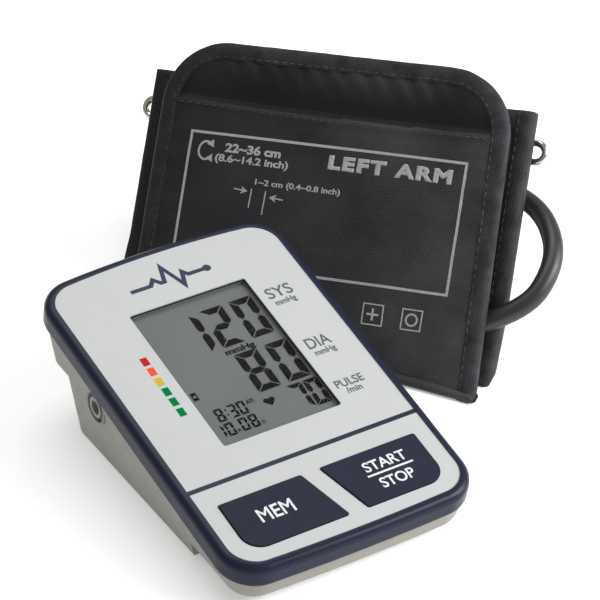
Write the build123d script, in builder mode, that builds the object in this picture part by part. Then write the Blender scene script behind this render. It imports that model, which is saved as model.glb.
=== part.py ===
"""Upper arm blood pressure monitor with its folded cuff, air hose and air plug.

Millimetres, +Z up.  The origin is the centre of the monitor's flat base on the table; the keys
face -Y and the display's rear edge faces +Y.  The cuff stands folded behind and to the right.
"""

import math
import os

from build123d import *

os.makedirs("parts", exist_ok=True)

# ---- monitor: face panel -------------------------------------------------------------------
TILT = 12.1  # slope of the face panel above the table, rising to the rear
FACE_Y = -11.3  # middle of the face panel
FACE_Z = 34.3
PANEL_HALF_W = 44.5
PANEL_REAR = 70.5  # middle of the rear end, along the slope
PANEL_FRONT = -70.2
CROWN_REAR = 2.8  # how far the middle of each end stands out beyond its corners
CROWN_FRONT = 1.2
PANEL_CORNER = 10.3
PANEL_T = 1.95

# ---- monitor: navy upper cover -------------------------------------------------------------
BUMPER_OUT = 3.6  # stands out past the panel's edge
BUMPER_TOP = 0.3
BUMPER_DEEP = 9.1
BUMPER_TOP_ROUND = 3.2
BUMPER_LOW_ROUND = 1.8
BUMPER_IN = 0.6  # inner side of the bumper, inside the panel's edge
GAP = 0.05  # assembly gap between glued or snapped pieces
DECK_TOP = -2.0  # floor of the recess that holds the panels
DECK_T = 1.8
DIVIDER_AT = -33.65  # bar between the display panel and the key panel
DIVIDER_W = 1.8

# ---- monitor: display ----------------------------------------------------------------------
WINDOW_W = 46.2
WINDOW_L = 67.1
WINDOW_AT = 13.1
WINDOW_CORNER = 1.0
LENS_TOP = -0.5
GLASS_W = 50.0
GLASS_L = 71.0
GLASS_T = 2.2
HOLDER_WALL = 2.0
HOLDER_LIP = 2.0

# ---- monitor: keys -------------------------------------------------------------------------
KEY_REAR = -42.45
KEY_FRONT = -64.2
KEY_OUTER = 38.2
MEM_INNER_REAR = -6.45
MEM_INNER_FRONT = -0.35
START_INNER_REAR = 0.85
START_INNER_FRONT = 7.0
KEY_CORNER = 7.0
KEY_SMALL_CORNER = 0.8
KEY_GAP = 0.3
KEY_PROUD = 0.5
KEY_FLANGE = 0.8
KEY_FLANGE_T = 1.0
KEY_STEM_R = 2.5
KEY_STEM_X = 20.0
KEY_STEM_AT = -53.0
KEY_STEM_END = -3.75
FLANGE_ROOM = 0.25

# ---- monitor: circuit board ----------------------------------------------------------------
BOARD_TOP = -8.0
BOARD_T = 1.6
BOARD_HALF_W = 30.0
BOARD_REAR = 58.0
BOARD_FRONT = -62.0
POST_R = 2.5
POST_X = 25.0
POST_REAR = 54.0
POST_FRONT = -31.5
SWITCH_SIDE = 6.0
SWITCH_BODY = 2.6
SWITCH_TOP = 3.3
SWITCH_BUTTON_R = 1.7
BOARD_SCREW_HEAD_R = 2.0
BOARD_SCREW_HEAD_T = 1.2
BOARD_SCREW_R = 1.0
BOARD_SCREW_LONG = 5.0
CHIP_SIDE = 12.0
CHIP_T = 1.4
CHIP_AT = -42.0
CAPACITOR_R = 2.6
CAPACITOR_L = 5.0
CAPACITOR_SPOTS = ((14.0, -46.0), (14.0, -54.0))
BUZZER_R = 6.0
BUZZER_T = 3.4
BUZZER_X = -14.0
BUZZER_AT = -50.0
SENSOR_X = -27.0
SENSOR_AT = 22.0
SENSOR_SIDE = 5.6
SENSOR_T = 3.0

# ---- monitor: lower housing ----------------------------------------------------------------
BASE_HALF_W = 42.3
BASE_HALF_L = 43.5
BASE_REAR_LEAN = 2.0
BASE_REAR_CORNER = 8.0
RIM_OUT = 2.2  # top of the housing wall, outside the panel's edge
FOOT_FRONT_Y = -79.2  # the walls' lines carried down to the table
FOOT_REAR_Y = 55.5
FOOT_CORNER = 9.0
TRAY_Z = 2.0
TRAY_ROUND = 6.5
REAR_STEP_Z = 24.0
WALL = 2.0

# ---- monitor: battery bay ------------------------------------------------------------------
CELL_R = 7.1
CELL_BODY = 49.2
CELL_NUB_R = 2.75
CELL_NUB = 1.3
CELL_PITCH = 14.8
CELL_COUNT = 4
CELL_Z = 9.3
BAY_X0 = -22.0
BAY_X1 = 35.5
BAY_Y0 = -35.2
BAY_Y1 = 24.4
BAY_ROOF = 17.2
BAY_WALL = 1.2
CONTACT_T = 0.5
CONTACT_W = 9.0
CONTACT_H = 11.0
SPRING_R = 3.2
SPRING_WIRE_R = 0.3
SPRING_TURNS = 4
DOOR_T = 1.4
DOOR_X0 = -24.5
DOOR_X1 = 38.0
DOOR_Y1 = 26.6
DOOR_GAP = 0.1
DOOR_FLARE = 1.0  # the door's dovetail edges widen upward
DOOR_GRIP_W = 18.0
FOOT_R = 4.0
FOOT_T = 0.8
FOOT_SPOTS = ((-33.5, -37.0), (-26.5, 35.5), (26.5, 35.5))
DOOR_FOOT = (30.0, -37.0)

# ---- monitor: screws through the base ------------------------------------------------------
PILLAR_R = 3.6
PILLARS = (  # x, y, top of the pillar, height of the seat under the screw's head
    (-38.0, -47.3, 9.0, 5.0),
    (38.0, -47.3, 9.0, 5.0),
    (-36.4, 37.2, 20.0, 13.0),
    (36.4, 37.2, 20.0, 13.0),
)
SCREW_HEAD_R = 2.3
SCREW_HEAD_T = 1.6
SCREW_R = 1.2
SCREW_ROOM = 0.15
SCREW_REACH = 4.5

# ---- monitor: pump, valve and air line -----------------------------------------------------
PUMP_Y = 33.8
PUMP_Z = 13.0
PUMP_SIDE = 15.0
HEAD_X0 = -32.2
HEAD_X1 = -12.1
MOTOR_X0 = -12.0
MOTOR_X1 = 12.0
MOTOR_R = 7.3
SHAFT_R = 1.0
SHAFT_FIT = 0.05
SHAFT_X0 = -26.0
SHAFT_X1 = 13.5
ROTOR_R = 4.6
ROTOR_X0 = -22.0
ROTOR_X1 = -17.0
ROTOR_OFF = 0.8
ROTOR_ROOM = 0.6
CRADLE_T = 2.0
CRADLE_SPOTS = (-8.0, 6.0)
AIR_X = -30.5
AIR_Z = 12.0
BARB_R = 1.5
AIR_BORE_R = 0.7
TUBE_R = 2.6
MANIFOLD_X0 = -38.5
MANIFOLD_X1 = -24.4
MANIFOLD_Y0 = 9.5
MANIFOLD_Y1 = 21.0
MANIFOLD_Z0 = 7.5
MANIFOLD_Z1 = 16.0
VALVE_Y0 = -14.0
VALVE_Y1 = 4.0
VALVE_SIDE = 11.0
PLUNGER_R = 2.0
PLUNGER_FIT = 0.05
PLUNGER_Y0 = -16.5
PLUNGER_Y1 = -2.0
PLUNGER_TRAVEL = 0.8
JACK_Y = 17.5
JACK_Z = 24.3
JACK_R = 6.4
JACK_FACE_X = -46.2
JACK_LONG = 8.6
JACK_BORE_R = 2.6
JACK_BORE_LONG = 9.0
JACK_GROOVE_IN = 3.9
JACK_GROOVE_OUT = 5.5
JACK_GROOVE_DEEP = 1.5
JACK_DROP_X = -34.5

# ---- cuff ----------------------------------------------------------------------------------
CUFF_X = 85.6  # front right corner of the folded cuff on the table
CUFF_Y = -23.3
CUFF_HEADING = -56.3  # direction of its lower edge, from +X
CUFF_LEAN = 52.0  # slope of its face
CUFF_ROLL = 6.4  # the fold is skew: the cuff's own lines climb to the right by this much
FLOOR_T = 3.0
FRONT_LEFT = -140.0
FRONT_RIGHT = -5.0
FRONT_FOOT = -2.0
FRONT_TOP = 120.0
FRONT_CORNER = 24.0
FRONT_T = 5.0
BLADDER_T = 2.0
BLADDER_LEFT = -132.0
BLADDER_RIGHT = -14.0
BLADDER_LOW = 28.0
BLADDER_HIGH = 93.0
BINDING_W = 6.0
BINDING_PROUD = 0.4
REAR_AT = -13.5  # room for the hose between the two panels
REAR_LEFT = -150.2
REAR_RIGHT = 1.5
REAR_TOP = 109.6
REAR_CORNER = 3.0
REAR_T = 7.0
LEG_T = 3.0
LEG_LEFT = -146.0
LEG_RIGHT = -42.0
LEG_HIGH = 68.0
LEG_BEND = 49.0
LEG_FOOT = 91.0
PAD_T = 1.0

# ---- D-ring and its sleeve -----------------------------------------------------------------
RING_WIRE_R = 1.3
RING_LONG = 162.5
RING_SHORT = 9.6
RING_MID = -76.8
RING_HINGE = 99.2  # the upper bar, which the sleeve holds
RING_AT = -24.0
SLEEVE_LEFT = -134.0
SLEEVE_RIGHT = -20.0
SLEEVE_HALF = 2.5
SLEEVE_BACK = -26.4
SLEEVE_FIT = 0.1

# ---- air hose ------------------------------------------------------------------------------
HOSE_R = 3.75
HOSE_BEND = 0.45  # how much of the shorter run each bend takes up
HOSE_ROUTE = (
    (89.0, 8.4, 11.2),
    (111.6, -10.9, 21.8),
    (130.7, -5.7, 35.9),
    (140.7, 15.9, 41.3),
    (141.0, 40.2, 39.3),
    (140.5, 61.5, 30.8),
    (153.0, 90.1, 18.3),
    (168.0, 100.1, 17.7),
)
PORT_LONG = 7.0
PORT_R = 3.95
PORT_FLANGE_R = 6.0
PORT_FLANGE_T = 2.0
COIL_X = 146.9
COIL_Y = 131.7
COIL_R = 38.0
COIL_TURNS = 1.75
COIL_LIFT = 0.8
COIL_ROUND = 3.0
TIE_AT = 60.0
TIE_W = 6.0
TIE_T = 0.8
HOSE_END = 27.0
PLUG_R = 4.5
PLUG_LONG = 20.0
PLUG_NOSE_R = 2.55
PLUG_NOSE = 9.0

# ---- planes --------------------------------------------------------------------------------
slope = math.radians(TILT)
face = Plane(origin=(0, FACE_Y, FACE_Z), x_dir=(1, 0, 0), z_dir=(0, -math.sin(slope), math.cos(slope)))
face_up = Axis(face.origin, face.z_dir)

heading = math.radians(CUFF_HEADING)
lean = math.radians(CUFF_LEAN)
along = Vector(math.cos(heading), math.sin(heading), 0)
behind = Vector(-math.sin(heading), math.cos(heading), 0)
upward = behind * math.cos(lean) + Vector(0, 0, math.sin(lean))
outward = along.cross(upward)
roll = math.radians(CUFF_ROLL)
rolled = along * math.cos(roll) + upward * math.sin(roll)
cuff_foot = Plane(origin=(CUFF_X, CUFF_Y, 0), x_dir=along, z_dir=outward)
cuff = Plane(origin=(CUFF_X, CUFF_Y, 0), x_dir=rolled, z_dir=outward)
cuff_end = Plane(origin=(CUFF_X, CUFF_Y, 0), x_dir=behind, z_dir=along)  # its y points up
cuff_floor = Plane(origin=(CUFF_X, CUFF_Y, 0), x_dir=along, z_dir=(0, 0, 1))


def save(piece, name):
    """Names a finished piece and writes its file."""
    piece.part.label = name
    export_step(piece.part, f"parts/{name}.step")


def end_outline(half_w, front, rear, crown_front, crown_rear, corner):
    """A long rounded outline with gently crowned ends."""
    with BuildSketch() as outline:
        with BuildLine():
            Line((-half_w, front + crown_front), (-half_w, rear - crown_rear))
            ThreePointArc((-half_w, rear - crown_rear), (0, rear), (half_w, rear - crown_rear))
            Line((half_w, rear - crown_rear), (half_w, front + crown_front))
            ThreePointArc((half_w, front + crown_front), (0, front), (-half_w, front + crown_front))
        make_face()
        fillet(outline.vertices(), corner)
    return outline.sketch


def face_outline(grow):
    """The face panel's outline, grown on all sides."""
    return end_outline(
        PANEL_HALF_W + grow,
        PANEL_FRONT - grow,
        PANEL_REAR + grow,
        CROWN_FRONT,
        CROWN_REAR,
        PANEL_CORNER + grow,
    )


def key_outline(inner_rear, inner_front, side, grow):
    """One key: a slanted inner side and a large outer front corner."""
    outer = side * KEY_OUTER
    with BuildSketch() as outline:
        with BuildLine():
            Polyline(
                (outer, KEY_REAR),
                (inner_rear, KEY_REAR),
                (inner_front, KEY_FRONT),
                (outer, KEY_FRONT),
                close=True,
            )
        make_face()
        large = outline.vertices().sort_by_distance((outer, KEY_FRONT))[0]
        fillet(large, KEY_CORNER)
        sharp = [v for v in outline.vertices() if abs(v.Y - KEY_REAR) < 0.01]
        sharp += [outline.vertices().sort_by_distance((inner_front, KEY_FRONT))[0]]
        fillet(sharp, KEY_SMALL_CORNER)
        if grow > 0:
            offset(amount=grow)
    return outline.sketch


def housing_form(inset):
    """The lower housing's outer form, or its hollow when it is set in by the wall."""
    with BuildSketch(face.offset(-BUMPER_DEEP)) as rim:
        add(face_outline(RIM_OUT - inset))
    foot_outline = end_outline(
        BASE_HALF_W - inset,
        FOOT_FRONT_Y + inset,
        FOOT_REAR_Y - inset,
        CROWN_FRONT,
        CROWN_REAR,
        FOOT_CORNER - inset,
    )
    with BuildSketch() as foot:
        add(foot_outline)
    with BuildPart() as form:
        add(loft([foot.sketch.face(), rim.sketch.face()], ruled=True))
        with BuildSketch(Plane.YZ):
            with BuildLine():
                Polyline(
                    (-BASE_HALF_L + inset, inset),
                    (BASE_HALF_L - inset, inset),
                    (BASE_HALF_L + BASE_REAR_LEAN - inset, REAR_STEP_Z + inset),
                    (90, REAR_STEP_Z + inset),
                    (90, 70),
                    (-110, 70),
                    (-110, TRAY_Z + inset),
                    (-BASE_HALF_L + inset, TRAY_Z + inset),
                    close=True,
                )
            make_face()
        extrude(amount=60, both=True, mode=Mode.INTERSECT)
        rear_edges = form.edges().filter_by(lambda e: 5 < e.center().Z < REAR_STEP_Z - 2)
        fillet(rear_edges.filter_by(lambda e: 42 - inset < e.center().Y < 47), BASE_REAR_CORNER - inset)
        front_edges = form.edges().filter_by(lambda e: abs(e.center().Z - TRAY_Z - inset) < 0.01)
        fillet(front_edges.sort_by(Axis.Y)[0], TRAY_ROUND - inset)
    return form.part


def deck_under(y):
    """Height of the middle of the upper cover's deck above the table."""
    down = DECK_TOP - DECK_T / 2
    return FACE_Z + (y - FACE_Y) * math.tan(slope) + down / math.cos(slope)


plate_fit = face_outline(-GAP)
recess = face_outline(GAP)
bumper = face_outline(BUMPER_OUT)
bumper_hole = face_outline(-BUMPER_IN)
mem_shape = key_outline(MEM_INNER_REAR, MEM_INNER_FRONT, -1, 0)
start_shape = key_outline(START_INNER_REAR, START_INNER_FRONT, 1, 0)
key_holes = (
    key_outline(MEM_INNER_REAR, MEM_INNER_FRONT, -1, KEY_GAP),
    key_outline(START_INNER_REAR, START_INNER_FRONT, 1, KEY_GAP),
)
key_flanges = (
    key_outline(MEM_INNER_REAR, MEM_INNER_FRONT, -1, KEY_FLANGE),
    key_outline(START_INNER_REAR, START_INNER_FRONT, 1, KEY_FLANGE),
)
key_rooms = (
    key_outline(MEM_INNER_REAR, MEM_INNER_FRONT, -1, KEY_FLANGE + FLANGE_ROOM),
    key_outline(START_INNER_REAR, START_INNER_FRONT, 1, KEY_FLANGE + FLANGE_ROOM),
)

post_spots = ((-POST_X, POST_REAR), (POST_X, POST_REAR), (-POST_X, POST_FRONT), (POST_X, POST_FRONT))

# ---- upper cover: bumper, deck, divider, posts and screw bosses, one moulding ----------------
deck_low = DECK_TOP - DECK_T
with BuildPart() as upper_cover:
    with BuildSketch(face.offset(-BUMPER_DEEP)):
        add(bumper)
    extrude(amount=BUMPER_DEEP + BUMPER_TOP)
    top_edges = upper_cover.faces().sort_by(face_up)[-1].edges()
    fillet(top_edges, BUMPER_TOP_ROUND)
    low_edges = upper_cover.faces().sort_by(face_up)[0].edges()
    fillet(low_edges, BUMPER_LOW_ROUND)
    with BuildSketch(face.offset(-BUMPER_DEEP)):
        add(bumper_hole)
    extrude(amount=BUMPER_DEEP + deck_low, mode=Mode.SUBTRACT)
    with BuildSketch(face.offset(DECK_TOP)):
        add(recess)
    extrude(amount=5, mode=Mode.SUBTRACT)
    with BuildSketch(face.offset(DECK_TOP)):
        with Locations((0, DIVIDER_AT)):
            Rectangle(2 * PANEL_HALF_W + 1, DIVIDER_W)
    extrude(amount=-DECK_TOP)
    with BuildSketch(face.offset(DECK_TOP)):
        with Locations((0, WINDOW_AT)):
            Rectangle(GLASS_W + 4 * GAP, GLASS_L + 4 * GAP)
        for room in key_rooms:
            add(room)
    extrude(amount=-DECK_T, mode=Mode.SUBTRACT)
    with BuildSketch(face.offset(deck_low)):
        with Locations(*post_spots):
            Circle(POST_R)
    extrude(amount=BOARD_TOP - deck_low)
    for x, y, pillar_top, seat in PILLARS:
        with BuildSketch(Plane.XY.offset(pillar_top)):
            with Locations((x, y)):
                Circle(PILLAR_R)
        extrude(amount=deck_under(y) - pillar_top)
        with BuildSketch(Plane.XY.offset(pillar_top)):
            with Locations((x, y)):
                Circle(SCREW_R)
        extrude(amount=SCREW_REACH, mode=Mode.SUBTRACT)
    with BuildSketch(face.offset(BOARD_TOP)):
        with Locations(*post_spots):
            Circle(BOARD_SCREW_R)
    extrude(amount=BOARD_SCREW_LONG - BOARD_T, mode=Mode.SUBTRACT)
save(upper_cover, "upper_cover")

# ---- white panels --------------------------------------------------------------------------
with BuildPart() as display_panel:
    with BuildSketch(face.offset(-PANEL_T)):
        add(plate_fit)
        with Locations((0, DIVIDER_AT + DIVIDER_W / 2 + GAP)):
            Rectangle(200, 200, align=(Align.CENTER, Align.MIN), mode=Mode.INTERSECT)
        with Locations((0, WINDOW_AT)):
            RectangleRounded(WINDOW_W, WINDOW_L, WINDOW_CORNER, mode=Mode.SUBTRACT)
    extrude(amount=PANEL_T)
save(display_panel, "display_panel")

with BuildPart() as key_panel:
    with BuildSketch(face.offset(-PANEL_T)):
        add(plate_fit)
        with Locations((0, DIVIDER_AT - DIVIDER_W / 2 - GAP)):
            Rectangle(200, 200, align=(Align.CENTER, Align.MAX), mode=Mode.INTERSECT)
        for hole in key_holes:
            add(hole, mode=Mode.SUBTRACT)
    extrude(amount=PANEL_T)
save(key_panel, "key_panel")

# ---- keys: a cap with a flange under the panel and a short stem over its switch --------------
for name, shape, flange, stem_x in (
    ("mem_key", mem_shape, key_flanges[0], -KEY_STEM_X),
    ("start_stop_key", start_shape, key_flanges[1], KEY_STEM_X),
):
    with BuildPart() as key:
        with BuildSketch(face.offset(DECK_TOP - KEY_FLANGE_T)):
            add(flange)
        extrude(amount=KEY_FLANGE_T)
        with BuildSketch(face.offset(DECK_TOP)):
            add(shape)
        extrude(amount=KEY_PROUD - DECK_TOP)
        rim_edges = key.faces().sort_by(face_up)[-1].edges()
        fillet(rim_edges, 0.3)
        with BuildSketch(face.offset(KEY_STEM_END)):
            with Locations((stem_x, KEY_STEM_AT)):
                Circle(KEY_STEM_R)
        extrude(amount=DECK_TOP - KEY_FLANGE_T - KEY_STEM_END)
    save(key, name)

# ---- display: lens, glass and the frame that holds it on the board ---------------------------
with BuildPart() as lcd_lens:
    with BuildSketch(face.offset(DECK_TOP + GAP)):
        with Locations((0, WINDOW_AT)):
            RectangleRounded(WINDOW_W - 2 * GAP, WINDOW_L - 2 * GAP, WINDOW_CORNER)
    extrude(amount=LENS_TOP - DECK_TOP - GAP)
save(lcd_lens, "lcd_lens")

glass_top = DECK_TOP
frame_top = deck_low - GAP
with BuildPart() as lcd_glass:
    with BuildSketch(face.offset(glass_top - GLASS_T)):
        with Locations((0, WINDOW_AT)):
            Rectangle(GLASS_W, GLASS_L)
    extrude(amount=GLASS_T)
save(lcd_glass, "lcd_glass")

with BuildPart() as lcd_frame:
    with BuildSketch(face.offset(BOARD_TOP)):
        with Locations((0, WINDOW_AT)):
            Rectangle(GLASS_W + 2 * HOLDER_WALL, GLASS_L + 2 * HOLDER_WALL)
    extrude(amount=frame_top - BOARD_TOP)
    with BuildSketch(face.offset(glass_top - GLASS_T - GAP)):
        with Locations((0, WINDOW_AT)):
            Rectangle(GLASS_W + 2 * GAP, GLASS_L + 2 * GAP)
    extrude(amount=5, mode=Mode.SUBTRACT)
    with BuildSketch(face.offset(BOARD_TOP)):
        with Locations((0, WINDOW_AT)):
            Rectangle(GLASS_W - 2 * HOLDER_LIP, GLASS_L - 2 * HOLDER_LIP)
    extrude(amount=5, mode=Mode.SUBTRACT)
save(lcd_frame, "lcd_frame")

# ---- circuit board and what it carries -------------------------------------------------------
board_low = BOARD_TOP - BOARD_T
with BuildPart() as main_board:
    with BuildSketch(face.offset(board_low)):
        with Locations((0, (BOARD_REAR + BOARD_FRONT) / 2)):
            Rectangle(2 * BOARD_HALF_W, BOARD_REAR - BOARD_FRONT)
        with Locations(*post_spots):
            Circle(BOARD_SCREW_R, mode=Mode.SUBTRACT)
    extrude(amount=BOARD_T)
save(main_board, "main_board")

with BuildPart() as board_screws:
    with BuildSketch(face.offset(board_low - BOARD_SCREW_HEAD_T)):
        with Locations(*post_spots):
            Circle(BOARD_SCREW_HEAD_R)
    extrude(amount=BOARD_SCREW_HEAD_T)
    with BuildSketch(face.offset(board_low)):
        with Locations(*post_spots):
            Circle(BOARD_SCREW_R)
    extrude(amount=BOARD_SCREW_LONG)
save(board_screws, "board_screws")

for name, switch_x in (("mem_switch", -KEY_STEM_X), ("start_switch", KEY_STEM_X)):
    with BuildPart() as switch:
        with BuildSketch(face.offset(BOARD_TOP)):
            with Locations((switch_x, KEY_STEM_AT)):
                Rectangle(SWITCH_SIDE, SWITCH_SIDE)
        extrude(amount=SWITCH_BODY)
        with BuildSketch(face.offset(BOARD_TOP + SWITCH_BODY)):
            with Locations((switch_x, KEY_STEM_AT)):
                Circle(SWITCH_BUTTON_R)
        extrude(amount=SWITCH_TOP - SWITCH_BODY)
    save(switch, name)

with BuildPart() as microcontroller:
    with BuildSketch(face.offset(board_low)):
        with Locations((0, CHIP_AT)):
            Rectangle(CHIP_SIDE, CHIP_SIDE)
    extrude(amount=-CHIP_T)
save(microcontroller, "microcontroller")

with BuildPart() as capacitors:
    with BuildSketch(face.offset(board_low)):
        with Locations(*CAPACITOR_SPOTS):
            Circle(CAPACITOR_R)
    extrude(amount=-CAPACITOR_L)
save(capacitors, "capacitors")

with BuildPart() as buzzer:
    with BuildSketch(face.offset(board_low)):
        with Locations((BUZZER_X, BUZZER_AT)):
            Circle(BUZZER_R)
    extrude(amount=-BUZZER_T)
    with BuildSketch(face.offset(board_low - BUZZER_T)):
        with Locations((BUZZER_X, BUZZER_AT)):
            Circle(1)
    extrude(amount=1, mode=Mode.SUBTRACT)
save(buzzer, "buzzer")

# ---- lower housing ---------------------------------------------------------------------------
outer_form = housing_form(0)
hollow_form = housing_form(WALL)
bay_mid_x = (BAY_X0 + BAY_X1) / 2
bay_mid_y = (BAY_Y0 + BAY_Y1) / 2
door_mid_x = (DOOR_X0 + DOOR_X1) / 2


def door_section(grow):
    """The door's dovetail section, across the bay."""
    with BuildSketch(Plane.XZ.offset(BASE_HALF_L)) as section:
        with BuildLine():
            Polyline(
                (DOOR_X0 - grow, 0),
                (DOOR_X1 + grow, 0),
                (DOOR_X1 + DOOR_FLARE + grow, DOOR_T + grow),
                (DOOR_X0 - DOOR_FLARE - grow, DOOR_T + grow),
                close=True,
            )
        make_face()
    return section.sketch


door_fit = door_section(0)
door_slot = door_section(DOOR_GAP)
with BuildPart() as lower_housing:
    add(outer_form)
    add(hollow_form, mode=Mode.SUBTRACT)
    with BuildSketch():
        with Locations((bay_mid_x, bay_mid_y)):
            Rectangle(BAY_X1 - BAY_X0 + 2 * BAY_WALL, BAY_Y1 - BAY_Y0 + 2 * BAY_WALL)
    extrude(amount=BAY_ROOF + BAY_WALL)
    with BuildSketch():
        with Locations((bay_mid_x, bay_mid_y)):
            Rectangle(BAY_X1 - BAY_X0, BAY_Y1 - BAY_Y0)
    extrude(amount=BAY_ROOF, mode=Mode.SUBTRACT)
    add(extrude(door_slot, amount=-(BASE_HALF_L + DOOR_Y1 + DOOR_GAP)), mode=Mode.SUBTRACT)
    for x, y, pillar_top, seat in PILLARS:
        with BuildSketch():
            with Locations((x, y)):
                Circle(PILLAR_R)
        extrude(amount=pillar_top, mode=Mode.ADD)
    with BuildSketch():
        with Locations((0, -78)):
            Rectangle(200, 2 * (78 - BASE_HALF_L))
    extrude(amount=TRAY_Z, mode=Mode.SUBTRACT)
    for x, y, pillar_top, seat in PILLARS:
        with BuildSketch():
            with Locations((x, y)):
                Circle(SCREW_HEAD_R + SCREW_ROOM)
        extrude(amount=seat, mode=Mode.SUBTRACT)
        with BuildSketch():
            with Locations((x, y)):
                Circle(SCREW_R + SCREW_ROOM)
        extrude(amount=pillar_top, mode=Mode.SUBTRACT)
    with BuildSketch():
        with Locations(*FOOT_SPOTS):
            Circle(FOOT_R)
    extrude(amount=FOOT_T, mode=Mode.SUBTRACT)
    with BuildSketch(Plane.YZ.offset(-50)):
        with Locations((JACK_Y, JACK_Z)):
            Circle(JACK_R)
    extrude(amount=10, mode=Mode.SUBTRACT)
    for x in CRADLE_SPOTS:
        with BuildSketch(Plane.YZ.offset(x)):
            with Locations((PUMP_Y, WALL)):
                Rectangle(PUMP_SIDE - 1, PUMP_Z - WALL, align=(Align.CENTER, Align.MIN))
            with Locations((PUMP_Y, PUMP_Z)):
                Circle(MOTOR_R, mode=Mode.SUBTRACT)
        extrude(amount=CRADLE_T)
    with BuildSketch(Plane.XY.offset(WALL)):
        with Locations(((HEAD_X0 + HEAD_X1) / 2, PUMP_Y)):
            Rectangle(HEAD_X1 - HEAD_X0 - 4, PUMP_SIDE - 4)
    extrude(amount=PUMP_Z - PUMP_SIDE / 2 - WALL)
    with BuildSketch(Plane.XY.offset(WALL)):
        with Locations((AIR_X, (VALVE_Y0 + VALVE_Y1) / 2)):
            Rectangle(VALVE_SIDE - 3, VALVE_Y1 - VALVE_Y0 - 4)
    extrude(amount=AIR_Z - VALVE_SIDE / 2 - WALL)
    with BuildSketch(Plane.XY.offset(WALL)):
        with Locations(((MANIFOLD_X0 + MANIFOLD_X1) / 2, (MANIFOLD_Y0 + MANIFOLD_Y1) / 2)):
            Rectangle(MANIFOLD_X1 - MANIFOLD_X0 - 4, MANIFOLD_Y1 - MANIFOLD_Y0 - 4)
    extrude(amount=MANIFOLD_Z0 - WALL)
save(lower_housing, "lower_housing")

with BuildPart() as rubber_feet:
    with BuildSketch():
        with Locations(*FOOT_SPOTS):
            Circle(FOOT_R - GAP)
    extrude(amount=FOOT_T)
save(rubber_feet, "rubber_feet")

with BuildPart() as housing_screws:
    for x, y, pillar_top, seat in PILLARS:
        with BuildSketch(Plane.XY.offset(seat - SCREW_HEAD_T)):
            with Locations((x, y)):
                Circle(SCREW_HEAD_R)
        extrude(amount=SCREW_HEAD_T)
        with BuildSketch(Plane.XY.offset(seat)):
            with Locations((x, y)):
                Circle(SCREW_R)
        extrude(amount=pillar_top + SCREW_REACH - seat)
save(housing_screws, "housing_screws")

# ---- battery door, cells and contacts --------------------------------------------------------
with BuildPart() as battery_door:
    add(extrude(door_fit, amount=-(BASE_HALF_L + DOOR_Y1)))
    with BuildSketch():
        with Locations(DOOR_FOOT):
            Circle(FOOT_R)
    extrude(amount=FOOT_T, mode=Mode.SUBTRACT)
    for step in range(4):
        with BuildSketch():
            with Locations((door_mid_x - 6, -30 + 2.5 * step)):
                Rectangle(DOOR_GRIP_W, 1)
        extrude(amount=0.5, mode=Mode.SUBTRACT)
save(battery_door, "battery_door")

with BuildPart() as door_foot:
    with BuildSketch():
        with Locations(DOOR_FOOT):
            Circle(FOOT_R - GAP)
    extrude(amount=FOOT_T)
save(door_foot, "door_foot")

cell_ys = [bay_mid_y + CELL_PITCH * (i - (CELL_COUNT - 1) / 2) for i in range(CELL_COUNT)]
with BuildPart() as batteries:
    for i, y in enumerate(cell_ys):
        side = 1 if i % 2 == 0 else -1  # neighbouring cells lie head to tail
        plus_x = BAY_X1 - CONTACT_T if side > 0 else BAY_X0 + CONTACT_T
        with BuildSketch(Plane(origin=(plus_x, y, CELL_Z), x_dir=(0, 1, 0), z_dir=(-side, 0, 0))):
            Circle(CELL_NUB_R)
        extrude(amount=CELL_NUB)
        body_x = plus_x - side * CELL_NUB
        with BuildSketch(Plane(origin=(body_x, y, CELL_Z), x_dir=(0, 1, 0), z_dir=(-side, 0, 0))):
            Circle(CELL_R)
        extrude(amount=CELL_BODY)
save(batteries, "batteries")

spring_long = BAY_X1 - BAY_X0 - 2 * CONTACT_T - CELL_NUB - CELL_BODY
with BuildPart() as battery_contacts:
    for y in cell_ys:
        with BuildSketch(Plane.YZ.offset(BAY_X0)):
            with Locations((y, CELL_Z)):
                Rectangle(CONTACT_W, CONTACT_H)
        extrude(amount=CONTACT_T)
        with BuildSketch(Plane.YZ.offset(BAY_X1 - CONTACT_T)):
            with Locations((y, CELL_Z)):
                Rectangle(CONTACT_W, CONTACT_H)
        extrude(amount=CONTACT_T)
save(battery_contacts, "battery_contacts")

coil_long = spring_long - 2 * SPRING_WIRE_R
springs = []
for i, y in enumerate(cell_ys):
    start_x = BAY_X0 + CONTACT_T if i % 2 == 0 else BAY_X1 - CONTACT_T - spring_long
    path = Plane(origin=(start_x + SPRING_WIRE_R, y, CELL_Z), x_dir=(0, 1, 0), z_dir=(1, 0, 0)) * Helix(
        pitch=coil_long / SPRING_TURNS, height=coil_long, radius=SPRING_R
    )
    wire = Plane(origin=path @ 0, z_dir=path % 0) * Circle(SPRING_WIRE_R)
    springs.append(sweep(wire, path=path, is_frenet=True))
with BuildPart() as battery_springs:
    add(springs)
save(battery_springs, "battery_springs")

# ---- pump: motor, rotor with its eccentric, and diaphragm head -------------------------------
with BuildPart() as pump_motor:
    with BuildSketch(Plane.YZ.offset(MOTOR_X0)):
        with Locations((PUMP_Y, PUMP_Z)):
            Circle(MOTOR_R)
            Circle(SHAFT_R + SHAFT_FIT, mode=Mode.SUBTRACT)
    extrude(amount=MOTOR_X1 - MOTOR_X0)
save(pump_motor, "pump_motor")

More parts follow.
